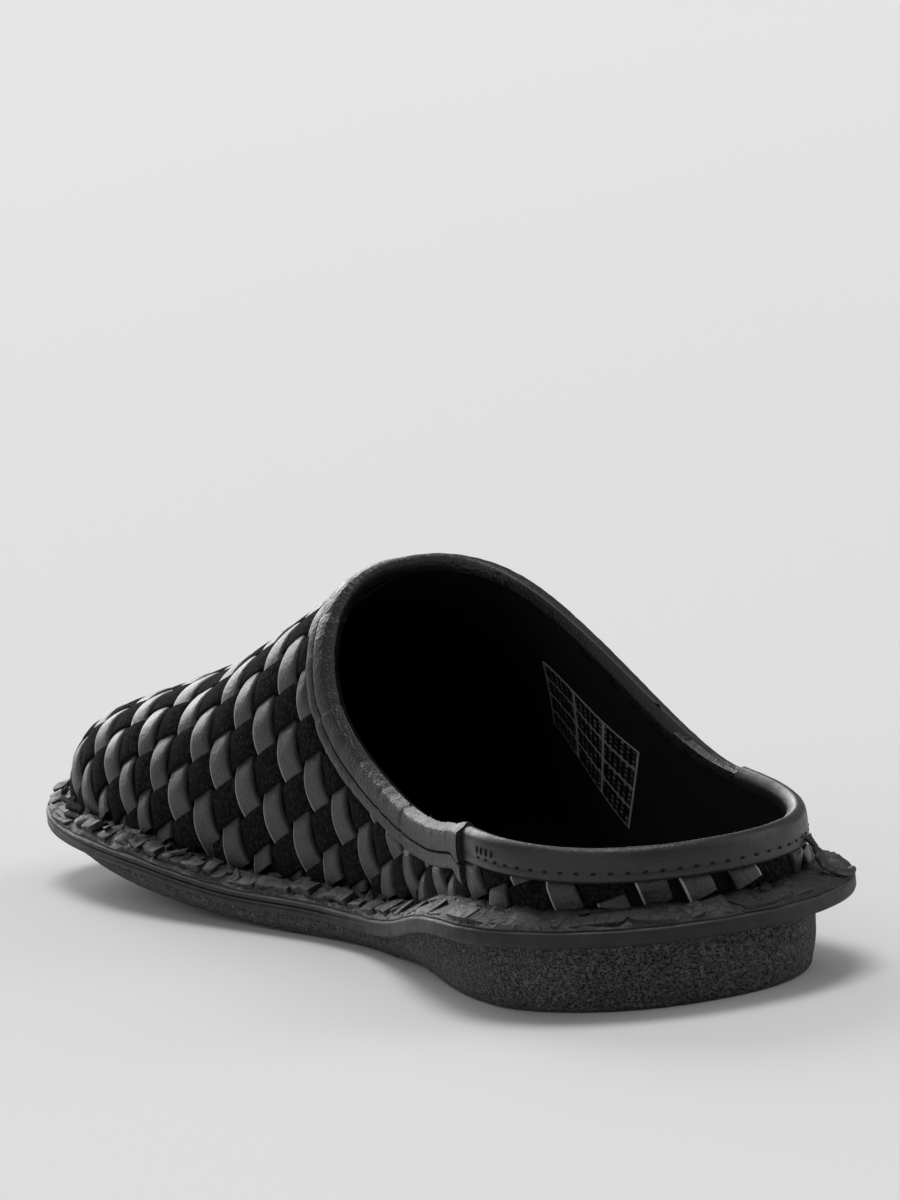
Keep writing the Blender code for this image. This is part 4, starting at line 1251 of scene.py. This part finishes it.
LINING_TREE = tree_of(skin_grid(FINE_PLANES, FINE_ROWS, WALL + LABEL_IN))
make_lining()
make_label()
make_thong()
weave("suede_strips", SUEDE, False)
weave("leather_strips", SATIN, True)
make_outsole()
make_midsole()
make_insole()
make_rand()
make_front_binding()
make_heel_binding()


# Camera at the photograph's viewing angle: turn, lift and roll in radians, distance and aim in millimetres on
# the last, focal length, middle and size of the picture in pixels.
VIEW_AZ, VIEW_EL, VIEW_ROLL = -0.4066208, 0.1601884, -0.1055550
VIEW_FAR, VIEW_F = 1788.583, 8547.1
VIEW_MIDDLE = (431.31, 826.21)
FRAME_W, FRAME_H = 900.0, 1200.0
VIEW_AIM = np.array([0.0, 145.0, 20.0])


def set_camera():
    level = math.cos(VIEW_EL)
    back = np.array([math.sin(VIEW_AZ) * level, -math.cos(VIEW_AZ) * level, math.sin(VIEW_EL)])
    ahead = -back
    right = np.cross(ahead, (0.0, 0.0, 1.0))
    right /= np.linalg.norm(right)
    up = np.cross(right, ahead)
    c, s = math.cos(VIEW_ROLL), math.sin(VIEW_ROLL)
    right, up = c * right + s * up, -s * right + c * up
    ahead = ahead + (FRAME_W / 2 - VIEW_MIDDLE[0]) / VIEW_F * right
    ahead = ahead - (FRAME_H / 2 - VIEW_MIDDLE[1]) / VIEW_F * up
    ahead /= np.linalg.norm(ahead)
    right = right - ahead * right.dot(ahead)
    right /= np.linalg.norm(right)
    up = np.cross(right, ahead)
    spot = place(VIEW_AIM + back * VIEW_FAR)
    lens = bpy.data.cameras.new("camera")
    lens.sensor_width = 36.0
    lens.lens = VIEW_F * lens.sensor_width / FRAME_H
    lens.clip_end = 60.0
    camera = bpy.data.objects.new("camera", lens)
    turn = Matrix((right, up, -ahead)).transposed().to_4x4()
    camera.matrix_world = Matrix.Translation(Vector(spot)) @ turn
    bpy.context.scene.collection.objects.link(camera)
    bpy.context.scene.camera = camera


def add_sun(name, spot, angle, power):
    """A wide soft light from one direction, as even on the floor as on the shoe."""
    lamp = bpy.data.lights.new(name, "SUN")
    lamp.angle = math.radians(angle)
    lamp.energy = power
    item = bpy.data.objects.new(name, lamp)
    item.location = spot
    item.rotation_euler = (-Vector(spot)).to_track_quat("-Z", "Y").to_euler()
    bpy.context.scene.collection.objects.link(item)


FLOOR_RADIUS, FLOOR_DROP = 14.0, 0.0002


def make_floor():
    bpy.ops.object.select_all(action="DESELECT")
    bpy.ops.mesh.primitive_circle_add(vertices=96, radius=FLOOR_RADIUS, fill_type="NGON",
                                      location=(0.0, 0.0, -FLOOR_DROP))
    ground = bpy.context.object
    ground.name = "floor"
    bpy.ops.object.transform_apply(location=True)
    f = Finish("pale_paper", Roughness=0.9, Specular_IOR_Level=0.1)
    # Painted light: the paper's tone rises from 0.80 on the near floor to 0.86 far behind, a gradient of
    # light drawn into the floor.
    parts = f.add("SeparateXYZ")
    f.join(f.where, parts.inputs["Vector"])
    reach = f.add("MapRange", From_Min=-0.4, From_Max=2.2)
    f.join(parts.outputs["Y"], reach.inputs["Value"])
    f.show("Base Color", f.ramp(reach.outputs["Result"], (0.0, 0.80), (1.0, 0.86)))
    ground.data.materials.append(f.stuff)


# Soft lights: name, direction, spread in degrees and strength.
LIGHTS = [("key", (0.00, 0.20, 1.40), 30.0, 1.11), ("back", (0.06, 1.00, 0.38), 32.0, 1.45),
          ("left", (-1.00, -0.40, 0.45), 60.0, 0.32), ("right", (1.00, -0.45, 0.50), 50.0, 0.55)]
WORLD_LIGHT = 0.26


set_camera()
make_floor()
for light in LIGHTS:
    add_sun(*light)
world = bpy.data.worlds.new("studio")
world.use_nodes = True
world.node_tree.nodes["Background"].inputs["Color"].default_value = (1.0, 1.0, 1.0, 1.0)
world.node_tree.nodes["Background"].inputs["Strength"].default_value = WORLD_LIGHT
bpy.context.scene.world = world
bpy.context.scene.view_settings.view_transform = "Standard"
